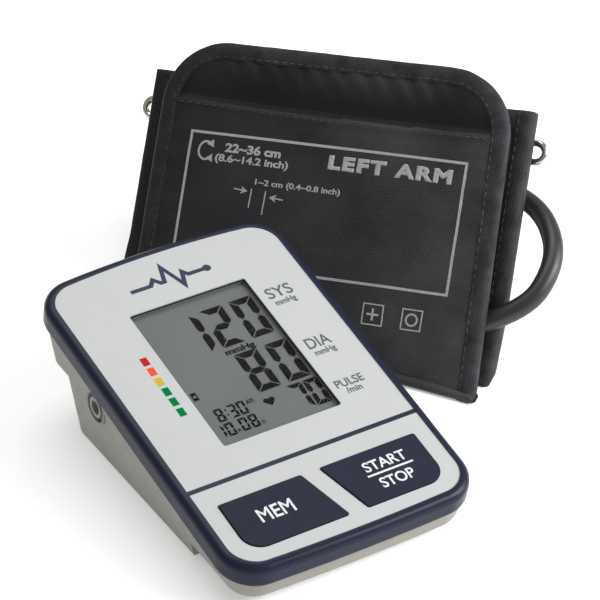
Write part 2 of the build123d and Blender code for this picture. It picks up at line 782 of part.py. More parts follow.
with BuildPart() as pump_rotor:
    with BuildSketch(Plane.YZ.offset(SHAFT_X0)):
        with Locations((PUMP_Y, PUMP_Z)):
            Circle(SHAFT_R)
    extrude(amount=SHAFT_X1 - SHAFT_X0)
    with BuildSketch(Plane.YZ.offset(ROTOR_X0)):
        with Locations((PUMP_Y, PUMP_Z + ROTOR_OFF)):
            Circle(ROTOR_R)
    extrude(amount=ROTOR_X1 - ROTOR_X0)
save(pump_rotor, "pump_rotor")

with BuildPart() as pump_head:
    with BuildSketch(Plane.YZ.offset(HEAD_X0)):
        with Locations((PUMP_Y, PUMP_Z)):
            Rectangle(PUMP_SIDE, PUMP_SIDE)
    extrude(amount=HEAD_X1 - HEAD_X0)
    with BuildSketch(Plane.YZ.offset(ROTOR_X0 - ROTOR_ROOM)):
        with Locations((PUMP_Y, PUMP_Z)):
            Circle(ROTOR_R + ROTOR_OFF + ROTOR_ROOM)
    extrude(amount=ROTOR_X1 - ROTOR_X0 + 2 * ROTOR_ROOM, mode=Mode.SUBTRACT)
    with BuildSketch(Plane.YZ.offset(SHAFT_X0 - ROTOR_ROOM)):
        with Locations((PUMP_Y, PUMP_Z)):
            Circle(SHAFT_R + SHAFT_FIT)
    extrude(amount=HEAD_X1 - SHAFT_X0 + ROTOR_ROOM, mode=Mode.SUBTRACT)
    with BuildSketch(Plane.XZ.offset(-(PUMP_Y - PUMP_SIDE / 2))):
        with Locations((AIR_X, AIR_Z)):
            Circle(BARB_R)
    extrude(amount=2.3)
    with BuildSketch(Plane.XZ.offset(-(PUMP_Y - PUMP_SIDE / 2))):
        with Locations((AIR_X, AIR_Z)):
            Circle(AIR_BORE_R)
    extrude(amount=6, both=True, mode=Mode.SUBTRACT)
save(pump_head, "pump_head")

# ---- air manifold, release valve, pressure sensor and jack -----------------------------------
sensor_port = face.offset(board_low - SENSOR_T)
sensor_spot = sensor_port.from_local_coords(Vector(SENSOR_X, SENSOR_AT, 0))
drop = (sensor_spot.Z - MANIFOLD_Z1) / math.cos(slope)
sensor_line = Plane(origin=sensor_spot, x_dir=(1, 0, 0), z_dir=-face.z_dir)
with BuildPart() as air_manifold:
    with BuildSketch(Plane.XY.offset(MANIFOLD_Z0)):
        with Locations(((MANIFOLD_X0 + MANIFOLD_X1) / 2, (MANIFOLD_Y0 + MANIFOLD_Y1) / 2)):
            Rectangle(MANIFOLD_X1 - MANIFOLD_X0, MANIFOLD_Y1 - MANIFOLD_Y0)
    extrude(amount=MANIFOLD_Z1 - MANIFOLD_Z0)
    with BuildSketch(Plane.XZ.offset(-MANIFOLD_Y1 - 2.3)):
        with Locations((AIR_X, AIR_Z)):
            Circle(BARB_R)
    extrude(amount=MANIFOLD_Y1 - MANIFOLD_Y0 + 4.6)
    with BuildSketch(Plane.XY.offset(MANIFOLD_Z1)):
        with Locations((JACK_DROP_X, JACK_Y)):
            Circle(BARB_R)
    extrude(amount=2)
    with BuildSketch(sensor_line.offset(drop - 2.6)):
        Circle(BARB_R)
    extrude(amount=5)
    with BuildSketch(Plane.XZ.offset(-MANIFOLD_Y1 - 2.3)):
        with Locations((AIR_X, AIR_Z)):
            Circle(AIR_BORE_R)
    extrude(amount=MANIFOLD_Y1 - MANIFOLD_Y0 + 4.6, mode=Mode.SUBTRACT)
    with BuildSketch(Plane.XY.offset(MANIFOLD_Z1 + 2)):
        with Locations((JACK_DROP_X, JACK_Y)):
            Circle(AIR_BORE_R)
    extrude(amount=-5, mode=Mode.SUBTRACT)
save(air_manifold, "air_manifold")

with BuildPart() as pump_tube:
    with BuildSketch(Plane.XZ.offset(-(PUMP_Y - PUMP_SIDE / 2))):
        with Locations((AIR_X, AIR_Z)):
            Circle(TUBE_R)
            Circle(BARB_R, mode=Mode.SUBTRACT)
    extrude(amount=PUMP_Y - PUMP_SIDE / 2 - MANIFOLD_Y1)
save(pump_tube, "pump_tube")

with BuildPart() as valve_tube:
    with BuildSketch(Plane.XZ.offset(-MANIFOLD_Y0)):
        with Locations((AIR_X, AIR_Z)):
            Circle(TUBE_R)
            Circle(BARB_R, mode=Mode.SUBTRACT)
    extrude(amount=MANIFOLD_Y0 - VALVE_Y1)
save(valve_tube, "valve_tube")

with BuildPart() as release_valve:
    with BuildSketch(Plane.XZ.offset(-VALVE_Y1)):
        with Locations((AIR_X, AIR_Z)):
            RectangleRounded(VALVE_SIDE, VALVE_SIDE, 1.5)
    extrude(amount=VALVE_Y1 - VALVE_Y0)
    with BuildSketch(Plane.XZ.offset(-VALVE_Y1)):
        with Locations((AIR_X, AIR_Z)):
            Circle(BARB_R)
    extrude(amount=-2.5)
    with BuildSketch(Plane.XZ.offset(-VALVE_Y1 - 2.5)):
        with Locations((AIR_X, AIR_Z)):
            Circle(AIR_BORE_R)
    extrude(amount=20, mode=Mode.SUBTRACT)
    with BuildSketch(Plane.XZ.offset(-(PLUNGER_Y1 + PLUNGER_TRAVEL + 0.2))):
        with Locations((AIR_X, AIR_Z)):
            Circle(PLUNGER_R + PLUNGER_FIT)
    extrude(amount=20, mode=Mode.SUBTRACT)
save(release_valve, "release_valve")

with BuildPart() as valve_plunger:
    with BuildSketch(Plane.XZ.offset(-PLUNGER_Y1)):
        with Locations((AIR_X, AIR_Z)):
            Circle(PLUNGER_R)
    extrude(amount=PLUNGER_Y1 - PLUNGER_Y0)
save(valve_plunger, "valve_plunger")

with BuildPart() as pressure_sensor:
    with BuildSketch(sensor_port):
        with Locations((SENSOR_X, SENSOR_AT)):
            Rectangle(SENSOR_SIDE, SENSOR_SIDE)
    extrude(amount=SENSOR_T)
    with BuildSketch(sensor_line):
        Circle(BARB_R)
    extrude(amount=2.2)
save(pressure_sensor, "pressure_sensor")

with BuildPart() as sensor_tube:
    with BuildSketch(sensor_line):
        Circle(TUBE_R)
        Circle(BARB_R, mode=Mode.SUBTRACT)
    extrude(amount=drop + 5)
    with BuildSketch(Plane.XY.offset(MANIFOLD_Z1)):
        with Locations((AIR_X, MANIFOLD_Y1)):
            Rectangle(60, 60)
    extrude(amount=-10, mode=Mode.SUBTRACT)
save(sensor_tube, "sensor_tube")

with BuildPart() as air_jack:
    with BuildSketch(Plane.YZ.offset(JACK_FACE_X)):
        with Locations((JACK_Y, JACK_Z)):
            Circle(JACK_R - GAP)
    extrude(amount=JACK_LONG)
    with BuildSketch(Plane.YZ.offset(JACK_FACE_X + JACK_LONG)):
        with Locations((JACK_Y, JACK_Z)):
            Rectangle(6, 6)
    extrude(amount=JACK_DROP_X + 3 - JACK_FACE_X - JACK_LONG)
    with BuildSketch(Plane.XY.offset(JACK_Z - 3)):
        with Locations((JACK_DROP_X, JACK_Y)):
            Circle(BARB_R)
    extrude(amount=-2)
    with BuildSketch(Plane.YZ.offset(JACK_FACE_X)):
        with Locations((JACK_Y, JACK_Z)):
            Circle(JACK_GROOVE_OUT)
            Circle(JACK_GROOVE_IN, mode=Mode.SUBTRACT)
    extrude(amount=JACK_GROOVE_DEEP, mode=Mode.SUBTRACT)
    with BuildSketch(Plane.YZ.offset(JACK_FACE_X)):
        with Locations((JACK_Y, JACK_Z)):
            Circle(JACK_BORE_R)
    extrude(amount=JACK_BORE_LONG, mode=Mode.SUBTRACT)
    with BuildSketch(Plane.YZ.offset(JACK_FACE_X)):
        with Locations((JACK_Y, JACK_Z)):
            Circle(AIR_BORE_R)
    extrude(amount=JACK_DROP_X - JACK_FACE_X, mode=Mode.SUBTRACT)
    with BuildSketch(Plane.XY.offset(JACK_Z)):
        with Locations((JACK_DROP_X, JACK_Y)):
            Circle(AIR_BORE_R)
    extrude(amount=-10, mode=Mode.SUBTRACT)
save(air_jack, "air_jack")

with BuildPart() as jack_tube:
    with BuildSketch(Plane.XY.offset(MANIFOLD_Z1)):
        with Locations((JACK_DROP_X, JACK_Y)):
            Circle(TUBE_R)
            Circle(BARB_R, mode=Mode.SUBTRACT)
    extrude(amount=JACK_Z - 3 - MANIFOLD_Z1)
save(jack_tube, "jack_tube")

# ---- cuff: printed front pouch with its bladder ----------------------------------------------


def front_outline(grow):
    """The front pouch seen square on; its foot is cut away by the table later."""
    with BuildSketch() as outline:
        with BuildLine():
            Polyline(
                (FRONT_LEFT - grow, -20),
                (FRONT_LEFT - grow, FRONT_TOP + grow),
                (FRONT_RIGHT + grow, FRONT_TOP + grow),
                (FRONT_FOOT + grow, -20),
                close=True,
            )
        make_face()
        fillet(outline.vertices().group_by(Axis.Y)[-1], FRONT_CORNER + grow)
    return outline.sketch


def rear_outline(grow):
    """The rear panel seen square on."""
    with BuildSketch() as outline:
        with BuildLine():
            Polyline(
                (REAR_LEFT - grow, -20),
                (REAR_LEFT - grow, REAR_TOP + grow),
                (REAR_RIGHT + grow, REAR_TOP + grow),
                (REAR_RIGHT + grow, -20),
                close=True,
            )
        make_face()
        fillet(outline.vertices().group_by(Axis.Y)[-1], max(REAR_CORNER + grow, 0.5))
    return outline.sketch


def bound_panel(outline_at, front, thickness, bound):
    """A panel, or the tape folded around its edges, standing on the floor strip."""
    panel_plane = cuff.offset(front - thickness)
    inner = outline_at(0)
    outer = outline_at(BINDING_PROUD)
    window = outline_at(-BINDING_W)
    with BuildPart() as panel:
        if bound:
            with BuildSketch(panel_plane.offset(-BINDING_PROUD)):
                add(outer)
            extrude(amount=thickness + 2 * BINDING_PROUD)
            with BuildSketch(panel_plane.offset(-BINDING_PROUD)):
                add(window)
            extrude(amount=thickness + 2 * BINDING_PROUD, mode=Mode.SUBTRACT)
        with BuildSketch(panel_plane):
            add(inner)
        extrude(amount=thickness, mode=Mode.SUBTRACT if bound else Mode.ADD)
        with BuildSketch(Plane.XY.offset(FLOOR_T)):
            with Locations((100, 0)):
                Rectangle(600, 600)
        extrude(amount=-100, mode=Mode.SUBTRACT)
    return panel


cuff_front = bound_panel(front_outline, 0, FRONT_T, False)
bladder_plane = cuff.offset(-(FRONT_T + BLADDER_T) / 2)
with BuildPart() as bladder:
    with BuildSketch(bladder_plane):
        with BuildLine():
            Polyline(
                (BLADDER_LEFT, BLADDER_LOW),
                (BLADDER_LEFT, BLADDER_HIGH),
                (BLADDER_RIGHT, BLADDER_HIGH),
                (BLADDER_RIGHT, BLADDER_LOW),
                close=True,
            )
        make_face()
        fillet(vertices(), 10)
    extrude(amount=BLADDER_T)
save(bladder, "bladder")
with BuildPart() as cuff_front_cover:
    add(cuff_front.part)
    add(bladder.part, mode=Mode.SUBTRACT)
save(cuff_front_cover, "cuff_front")
save(bound_panel(front_outline, 0, FRONT_T, True), "cuff_front_binding")
save(bound_panel(rear_outline, REAR_AT, REAR_T, False), "cuff_rear")
save(bound_panel(rear_outline, REAR_AT, REAR_T, True), "cuff_rear_binding")

# ---- cuff: strip on the table under the fold, and the leg that props the tent ----------------
with BuildPart() as cuff_floor_strip:
    with BuildSketch(cuff_floor):
        with BuildLine():
            Polyline(
                (FRONT_FOOT, 0),
                (FRONT_LEFT, 0),
                (LEG_LEFT, LEG_FOOT),
                (LEG_RIGHT, LEG_FOOT),
                close=True,
            )
        make_face()
    extrude(amount=FLOOR_T)
    front_top = cuff_floor_strip.edges().group_by(Axis.Z)[-1].sort_by(Axis(cuff_floor.origin, behind))[0]
    fillet(front_top, FLOOR_T - 0.2)
save(cuff_floor_strip, "cuff_floor_strip")


def leg_point(depth, up):
    """A point in the cuff's end view: depth behind its front face, distance up its slope."""
    back = up * math.cos(lean) + depth * math.sin(lean)
    height = up * math.sin(lean) - depth * math.cos(lean)
    return (back, height)


leg_near = -REAR_AT + REAR_T + 2 * PAD_T
with BuildPart() as cuff_leg:
    with BuildSketch(cuff_end.offset(LEG_LEFT)):
        with BuildLine():
            Polyline(
                leg_point(leg_near, LEG_HIGH),
                leg_point(leg_near, LEG_BEND),
                (LEG_FOOT - 6, FLOOR_T),
                (LEG_FOOT - 0.5, FLOOR_T),
                leg_point(leg_near + LEG_T, LEG_BEND + 1),
                leg_point(leg_near + LEG_T, LEG_HIGH),
                close=True,
            )
        make_face()
    extrude(amount=LEG_RIGHT - LEG_LEFT)
save(cuff_leg, "cuff_leg")

for name, depth in (("loop_pad", leg_near - 2 * PAD_T), ("hook_pad", leg_near - PAD_T)):
    with BuildPart() as pad:
        with BuildSketch(cuff_foot.offset(-depth)):
            with Locations(((LEG_LEFT + LEG_RIGHT) / 2, (LEG_HIGH + LEG_BEND) / 2)):
                Rectangle(LEG_RIGHT - LEG_LEFT - 8, LEG_HIGH - LEG_BEND - 2)
        extrude(amount=-PAD_T)
    save(pad, name)

# ---- D-ring and the sleeve sewn behind the rear panel ----------------------------------------
bar_gap = RING_SHORT - 2 * RING_WIRE_R
ring_straight = RING_LONG - RING_SHORT
with BuildPart() as d_ring:
    with BuildLine(cuff.offset(RING_AT)):
        left = RING_MID - ring_straight / 2
        right = RING_MID + ring_straight / 2
        low = RING_HINGE - bar_gap
        Line((left, RING_HINGE), (right, RING_HINGE))
        ThreePointArc((right, RING_HINGE), (right + bar_gap / 2, low + bar_gap / 2), (right, low))
        Line((right, low), (left, low))
        ThreePointArc((left, low), (left - bar_gap / 2, low + bar_gap / 2), (left, RING_HINGE))
    bar_start = cuff.offset(RING_AT).from_local_coords(Vector(left, RING_HINGE, 0))
    with BuildSketch(Plane(origin=bar_start, z_dir=rolled)):
        Circle(RING_WIRE_R)
    sweep()
save(d_ring, "d_ring")

sleeve_back = SLEEVE_BACK
sleeve_front = REAR_AT - REAR_T
with BuildPart() as ring_sleeve:
    with BuildSketch(cuff.offset(sleeve_back)):
        with Locations(((SLEEVE_LEFT + SLEEVE_RIGHT) / 2, RING_HINGE)):
            Rectangle(SLEEVE_RIGHT - SLEEVE_LEFT, 2 * SLEEVE_HALF)
    extrude(amount=sleeve_front - sleeve_back)
    bar_end = cuff.offset(RING_AT).from_local_coords(Vector(SLEEVE_LEFT, RING_HINGE, 0))
    with BuildSketch(Plane(origin=bar_end, z_dir=rolled)):
        Circle(RING_WIRE_R + SLEEVE_FIT)
    extrude(amount=SLEEVE_RIGHT - SLEEVE_LEFT, mode=Mode.SUBTRACT)
save(ring_sleeve, "ring_sleeve")

# ---- air hose, its port on the bladder, the coil, the tie and the plug -----------------------
route = [Vector(*point) for point in HOSE_ROUTE]
bends = []
for before, corner, after in zip(route, route[1:], route[2:]):
    run_in = corner - before
    run_out = after - corner
    turn = math.radians(run_in.get_angle(run_out))
    bends.append(HOSE_BEND * min(run_in.length, run_out.length) / math.tan(turn / 2))
print("hose bend radii:", [round(bend, 1) for bend in bends])

coil_low = COIL_LIFT
coil_rise = COIL_TURNS * 2 * HOSE_R
coil_height = coil_rise + 2 * HOSE_R
with BuildPart() as hose_coil:
    with BuildSketch(Plane(origin=(COIL_X, COIL_Y, coil_low), x_dir=along, z_dir=-behind)):
        with Locations((COIL_R, coil_height / 2)):
            RectangleRounded(2 * HOSE_R, coil_height, COIL_ROUND)
    revolve(axis=Axis((COIL_X, COIL_Y, 0), (0, 0, 1)))
save(hose_coil, "hose_coil")

start_dir = (route[1] - route[0]).normalized()
with BuildPart() as air_hose:
    with BuildLine():
        FilletPolyline(*route, radius=bends)
    with BuildSketch(Plane(origin=route[0], z_dir=start_dir)):
        Circle(HOSE_R)
    sweep()
save(air_hose, "air_hose")
length = air_hose.part.volume / (math.pi * HOSE_R**2)
in_coil = COIL_TURNS * 2 * math.pi * COIL_R
print("hose length to the coil:", round(length, 1), "in the coil:", round(in_coil, 1))

with BuildPart() as hose_port:
    with BuildSketch(Plane(origin=route[0], z_dir=-start_dir)) as port_mouth:
        Circle(HOSE_R)
    with BuildSketch(Plane(origin=route[0] - start_dir * PORT_LONG, z_dir=-start_dir)) as port_root:
        Circle(PORT_R)
    loft()
    root = cuff.to_local_coords(route[0] - start_dir * PORT_LONG)
    with BuildSketch(cuff.offset(-FRONT_T)):
        with Locations((root.X, root.Y)):
            Circle(PORT_FLANGE_R)
    extrude(amount=-PORT_FLANGE_T)
save(hose_port, "hose_port")

coil_out = Vector(COIL_X, COIL_Y, coil_low + HOSE_R) - behind * COIL_R
plug_start = coil_out + along * HOSE_END
with BuildPart() as air_hose_end:
    with BuildSketch(Plane(origin=coil_out, z_dir=along)):
        Circle(HOSE_R)
    extrude(amount=HOSE_END)
    add(hose_coil.part, mode=Mode.SUBTRACT)
save(air_hose_end, "air_hose_end")

with BuildPart() as air_plug:
    with BuildSketch(Plane(origin=plug_start, z_dir=along)):
        Circle(PLUG_R)
    extrude(amount=PLUG_LONG)
    fillet(air_plug.edges().filter_by(GeomType.CIRCLE), 0.6)
    with BuildSketch(Plane(origin=plug_start + along * PLUG_LONG, z_dir=along)):
        Circle(PLUG_NOSE_R)
    extrude(amount=PLUG_NOSE)
    with BuildSketch(Plane(origin=plug_start + along * (PLUG_LONG + PLUG_NOSE), z_dir=-along)):
        Circle(1.2)
    extrude(amount=PLUG_NOSE + 10, mode=Mode.SUBTRACT)
save(air_plug, "air_plug")

tie_angle = math.radians(TIE_AT)
tie_dir = along * math.cos(tie_angle) + behind * math.sin(tie_angle)
tie_spot = Vector(COIL_X, COIL_Y, 0) + tie_dir * COIL_R
with BuildPart() as coil_tie:
    with BuildSketch(Plane(origin=tie_spot, x_dir=tie_dir, z_dir=tie_dir.cross(Vector(0, 0, 1)))):
        with Locations((0, coil_height / 2 + coil_low)):
            Rectangle(2 * HOSE_R + 2 * TIE_T, coil_height + 2 * TIE_T)
    extrude(amount=TIE_W / 2, both=True)
    add(hose_coil.part, mode=Mode.SUBTRACT)
save(coil_tie, "coil_tie")
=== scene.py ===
"""Looks of the upper arm blood pressure monitor: materials, printing, cuff fabric and air hose.

Metres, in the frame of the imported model.  Sizes on the face panel and on the cuff are written in
millimetres and scaled by the matrix of the plane that they lie on.
"""

import math

import bmesh
import bpy
from mathutils import Matrix, Vector, noise


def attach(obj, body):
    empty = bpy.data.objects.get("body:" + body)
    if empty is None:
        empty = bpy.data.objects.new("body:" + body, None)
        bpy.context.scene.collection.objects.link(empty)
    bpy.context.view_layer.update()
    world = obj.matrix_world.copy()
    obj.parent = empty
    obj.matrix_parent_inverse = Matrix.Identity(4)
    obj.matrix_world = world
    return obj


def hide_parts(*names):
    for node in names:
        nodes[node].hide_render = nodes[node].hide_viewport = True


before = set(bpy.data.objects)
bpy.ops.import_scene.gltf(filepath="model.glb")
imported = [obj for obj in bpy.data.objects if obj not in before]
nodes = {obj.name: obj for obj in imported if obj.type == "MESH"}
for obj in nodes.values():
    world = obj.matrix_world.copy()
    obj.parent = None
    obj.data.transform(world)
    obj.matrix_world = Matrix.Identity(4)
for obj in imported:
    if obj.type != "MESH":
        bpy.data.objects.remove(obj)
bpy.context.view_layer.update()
MAIN = "monitor_and_cuff"
MM = 0.001

# ---- camera --------------------------------------------------------------------------------
CAMERA_TARGET = Vector((0.0435, 0.0297, 0.0300))
CAMERA_AZIMUTH = -31.28
CAMERA_ELEVATION = 34.42
CAMERA_DISTANCE = 1.089
CAMERA_LENS = 182.7


def add_camera():
    azimuth = math.radians(CAMERA_AZIMUTH)
    elevation = math.radians(CAMERA_ELEVATION)
    back = Vector(
        (
            math.sin(azimuth) * math.cos(elevation),
            -math.cos(azimuth) * math.cos(elevation),
            math.sin(elevation),
        )
    )
    data = bpy.data.cameras.new("camera")
    data.lens = CAMERA_LENS
    data.sensor_width = 36.0
    data.clip_start = 0.05
    camera = bpy.data.objects.new("camera", data)
    camera.location = CAMERA_TARGET + back * CAMERA_DISTANCE
    camera.rotation_euler = back.to_track_quat("Z", "Y").to_euler()
    bpy.context.scene.collection.objects.link(camera)
    bpy.context.scene.camera = camera


add_camera()

# ---- planes of the face panel and of the cuff -------------------------------------------------
TILT = math.radians(12.1)
FACE_ORIGIN = Vector((0, -11.3, 34.3)) * MM
HEADING = math.radians(-56.3)
LEAN = math.radians(52.0)
ROLL = math.radians(6.4)
CUFF_ORIGIN = Vector((85.6, -23.3, 0)) * MM


def plane_matrix(origin, x_axis, y_axis):
    """Takes millimetres on a plane to metres in the scene."""
    z_axis = x_axis.cross(y_axis)
    turn = Matrix((x_axis, y_axis, z_axis)).transposed().to_4x4()
    return Matrix.Translation(origin) @ turn @ Matrix.Scale(MM, 4)


FACE = plane_matrix(FACE_ORIGIN, Vector((1, 0, 0)), Vector((0, math.cos(TILT), math.sin(TILT))))
along = Vector((math.cos(HEADING), math.sin(HEADING), 0))
behind = Vector((-math.sin(HEADING), math.cos(HEADING), 0))
upward = behind * math.cos(LEAN) + Vector((0, 0, math.sin(LEAN)))
rolled = along * math.cos(ROLL) + upward * math.sin(ROLL)
climb = upward * math.cos(ROLL) - along * math.sin(ROLL)
CUFF = plane_matrix(CUFF_ORIGIN, rolled, climb)

# ---- materials -----------------------------------------------------------------------------


class Shader:
    """A material with a Principled shader, and short ways to add nodes to it."""

    def __init__(self, name, color, roughness, **sockets):
        self.material = bpy.data.materials.new(name)
        self.material.use_nodes = True
        self.nodes = self.material.node_tree.nodes
        self.links = self.material.node_tree.links
        self.surface = self.nodes["Principled BSDF"]
        self.surface.inputs["Base Color"].default_value = (*color, 1)
        self.surface.inputs["Roughness"].default_value = roughness
        for socket, value in sockets.items():
            self.surface.inputs[socket.replace("_", " ")].default_value = value
        self.place = self.nodes.new("ShaderNodeTexCoord").outputs["Object"]

    def node(self, kind, **settings):
        made = self.nodes.new("ShaderNode" + kind)
        for key, value in settings.items():
            if key in made.inputs:
                made.inputs[key].default_value = value
            else:
                setattr(made, key, value)
        return made

    def join(self, output, target):
        self.links.new(output, target)

    def math(self, operation, first, second):
        made = self.node("Math", operation=operation)
        for index, value in enumerate((first, second)):
            if isinstance(value, (int, float)):
                made.inputs[index].default_value = value
            else:
                self.join(value, made.inputs[index])
        return made.outputs[0]

    def noise(self, per_metre, detail=3.0):
        made = self.node("TexNoise", Scale=per_metre, Detail=detail)
        self.join(self.place, made.inputs["Vector"])
        return made.outputs["Fac"]

    def ramp(self, value, low, high, low_out, high_out):
        made = self.node("MapRange")
        self.join(value, made.inputs["Value"])
        for key, number in (
            ("From Min", low),
            ("From Max", high),
            ("To Min", low_out),
            ("To Max", high_out),
        ):
            made.inputs[key].default_value = number
        return made.outputs["Result"]

    def tint(self, value, dark, light):
        made = self.node("ValToRGB")
        made.color_ramp.elements[0].color = (*dark, 1)
        made.color_ramp.elements[1].color = (*light, 1)
        self.join(value, made.inputs["Fac"])
        self.join(made.outputs["Color"], self.surface.inputs["Base Color"])

    def bump(self, height, distance, strength=1.0):
        made = self.node("Bump", Distance=distance, Strength=strength)
        self.join(height, made.inputs["Height"])
        if self.surface.inputs["Normal"].is_linked:
            before = self.surface.inputs["Normal"].links[0].from_socket
            self.join(before, made.inputs["Normal"])
        self.join(made.outputs["Normal"], self.surface.inputs["Normal"])

    def vary_roughness(self, value, low, high):
        self.join(self.ramp(value, 0.3, 0.7, low, high), self.surface.inputs["Roughness"])


def scaled(color, factor):
    return tuple(channel * factor for channel in color)


def plastic(name, color, roughness, grain_mm, depth_mm, spread=0.05, **sockets):
    """Moulded plastic: fine spark texture, faint mottling and uneven gloss."""
    shader = Shader(name, color, roughness, **sockets)
    mottle = shader.noise(60)
    level = shader.ramp(mottle, 0.3, 0.7, 0, 1)
    shader.tint(level, scaled(color, 1 - spread), scaled(color, 1 + spread))
    shader.vary_roughness(shader.noise(180), roughness * 0.88, min(1, roughness * 1.12))
    shader.bump(shader.noise(1000 / grain_mm, 2), depth_mm * MM)
    return shader.material


def metal(name, color, roughness, streak=0.15):
    """Plated metal with faint handling marks."""
    shader = Shader(name, color, roughness, Metallic=1.0)
    cloud = shader.noise(220)
    shader.tint(shader.ramp(cloud, 0.3, 0.7, 0, 1), scaled(color, 1 - streak), color)
    shader.vary_roughness(shader.noise(500), roughness * 0.7, roughness * 1.4)
    return shader.material


def printed(name, color, roughness=0.45, gloss=0.2):
    """Screen ink, a little uneven in thickness."""
    shader = Shader(name, color, roughness, Specular_IOR_Level=gloss)
    patch = shader.ramp(shader.noise(900), 0.35, 0.65, 0, 1)
    shader.tint(patch, scaled(color, 0.86), scaled(color, 1.05))
    shader.bump(shader.noise(2500), 0.01 * MM)
    return shader.material


def cuff_place(shader):
    """Object coordinates turned into the cuff's own plane, in metres."""
    turned = shader.node("Mapping", vector_type="TEXTURE")
    location, rotation, _ = CUFF.decompose()
    turned.inputs["Location"].default_value = location
    turned.inputs["Rotation"].default_value = rotation.to_euler()
    shader.join(shader.place, turned.inputs["Vector"])
    split = shader.node("SeparateXYZ")
    shader.join(turned.outputs["Vector"], split.inputs["Vector"])
    return split.outputs["X"], split.outputs["Y"]


def wave(shader, value, period_mm):
    phase = shader.math("MULTIPLY", value, 2 * math.pi / (period_mm * MM))
    return shader.math("SINE", phase, 0)


def twill(name, color, spread=0.35, period_mm=1.25, painted_pocket_shade=False):
    """Coated nylon: a diagonal weave of small floats, with painted shade darkening it towards the
    cuff's left end.
    """
    shader = Shader(name, color, 0.5, Sheen_Weight=0.05, Sheen_Roughness=0.4, Specular_IOR_Level=0.14)
    x, y = cuff_place(shader)
    rise = shader.math("ADD", x, y)
    fall = shader.math("SUBTRACT", x, shader.math("MULTIPLY", y, 0.8))
    rib = wave(shader, rise, period_mm)
    floats = shader.math("MULTIPLY", rib, wave(shader, fall, period_mm * 0.8))
    weave = shader.math("ADD", shader.math("MULTIPLY", rib, 0.6), floats)
    cloud = shader.noise(35, 4)
    shade = shader.math("ADD", shader.math("MULTIPLY", weave, 0.22), cloud)
    # painted shade: the cloth's colour darkens towards the cuff's left end, where less light falls
    painted_left_shade = shader.ramp(x, -0.145, -0.030, 0.15, 1)
    level = shader.math("MULTIPLY", shader.ramp(shade, 0.2, 0.8, 0, 1), painted_left_shade)
    if painted_pocket_shade:
        # painted shade in the set-back pocket: darkest just above the seam, where the recess lies in
        # shadow
        level = shader.math("MULTIPLY", level, shader.ramp(y, 0.102, 0.1125, 0.12, 1))
    shader.tint(level, scaled(color, 1 - spread), scaled(color, 1 + spread))
    shader.vary_roughness(cloud, 0.42, 0.6)
    shader.bump(shader.noise(120, 5), 0.5 * MM, 0.6)
    shader.bump(weave, 0.07 * MM, 0.8)
    return shader.material


def tape_cloth(name, color, period_mm=0.7):
    """Ribbed binding tape, with painted shade darkening it at the cuff's left end."""
    shader = Shader(name, color, 0.6, Sheen_Weight=0.03, Sheen_Roughness=0.4, Specular_IOR_Level=0.1)
    x, y = cuff_place(shader)
    ribs = shader.math("ADD", wave(shader, x, period_mm), wave(shader, y, period_mm))
    cloud = shader.noise(150, 4)
    shade = shader.math("ADD", shader.math("MULTIPLY", ribs, 0.1), cloud)
    # painted shade: the tape's colour darkens towards the cuff's left end, where less light falls
    painted_left_shade = shader.ramp(x, -0.150, -0.100, 0.1, 1)
    level = shader.math("MULTIPLY", shader.ramp(shade, 0.2, 0.8, 0, 1), painted_left_shade)
    shader.tint(level, scaled(color, 0.4), scaled(color, 1.5))
    shader.bump(shader.noise(300, 3), 0.2 * MM, 0.5)
    shader.bump(ribs, 0.05 * MM, 0.8)
    return shader.material


def hook_cloth(name, color):
    """Hook and loop pad: a dense nap of small knots."""
    shader = Shader(name, color, 0.9, Sheen_Weight=0.4)
    cells = shader.node("TexVoronoi", Scale=900.0)
    shader.join(shader.place, cells.inputs["Vector"])
    shader.tint(cells.outputs["Distance"], scaled(color, 1.5), scaled(color, 0.5))
    shader.bump(cells.outputs["Distance"], 0.4 * MM)
    return shader.material


def circuit(name):
    """Solder resist with tracks showing through."""
    shader = Shader(name, (0.01, 0.11, 0.04), 0.35)
    tracks = shader.node("TexBrick", Scale=220.0)
    shader.join(shader.place, tracks.inputs["Vector"])
    tracks.inputs["Color1"].default_value = (0.008, 0.09, 0.035, 1)
    tracks.inputs["Color2"].default_value = (0.01, 0.11, 0.045, 1)
    tracks.inputs["Mortar"].default_value = (0.02, 0.2, 0.08, 1)
    shader.join(tracks.outputs["Color"], shader.surface.inputs["Base Color"])
    shader.bump(tracks.outputs["Fac"], 0.03 * MM)
    return shader.material


def display_glass(name):
    """The unlit liquid crystal: grey with a green cast, slightly mottled."""
    shader = Shader(name, (0.165, 0.18, 0.165), 0.45, Specular_IOR_Level=0.15)
    cloud = shader.noise(25, 2)
    shader.tint(shader.ramp(cloud, 0.3, 0.7, 0, 1), (0.125, 0.139, 0.131), (0.142, 0.157, 0.148))
    shader.bump(shader.noise(3000), 0.004 * MM)
    return shader.material


def clear_window(name):
    shader = Shader(name, (0.03, 0.035, 0.035), 0.06, Alpha=0.03)
    shader.vary_roughness(shader.noise(90), 0.04, 0.09)
    return shader.material


def cell_jacket(name):
    """Printed battery sleeve: black with a copper band at the positive end of each cell."""
    shader = Shader(name, (0.03, 0.03, 0.03), 0.3)
    split = shader.node("SeparateXYZ")
    shader.join(shader.place, split.inputs["Vector"])
    band = shader.ramp(split.outputs["X"], 0.020, 0.021, 0, 1)
    shader.tint(band, (0.03, 0.03, 0.035), (0.5, 0.24, 0.08))
    shader.bump(shader.noise(500), 0.02 * MM)
    return shader.material


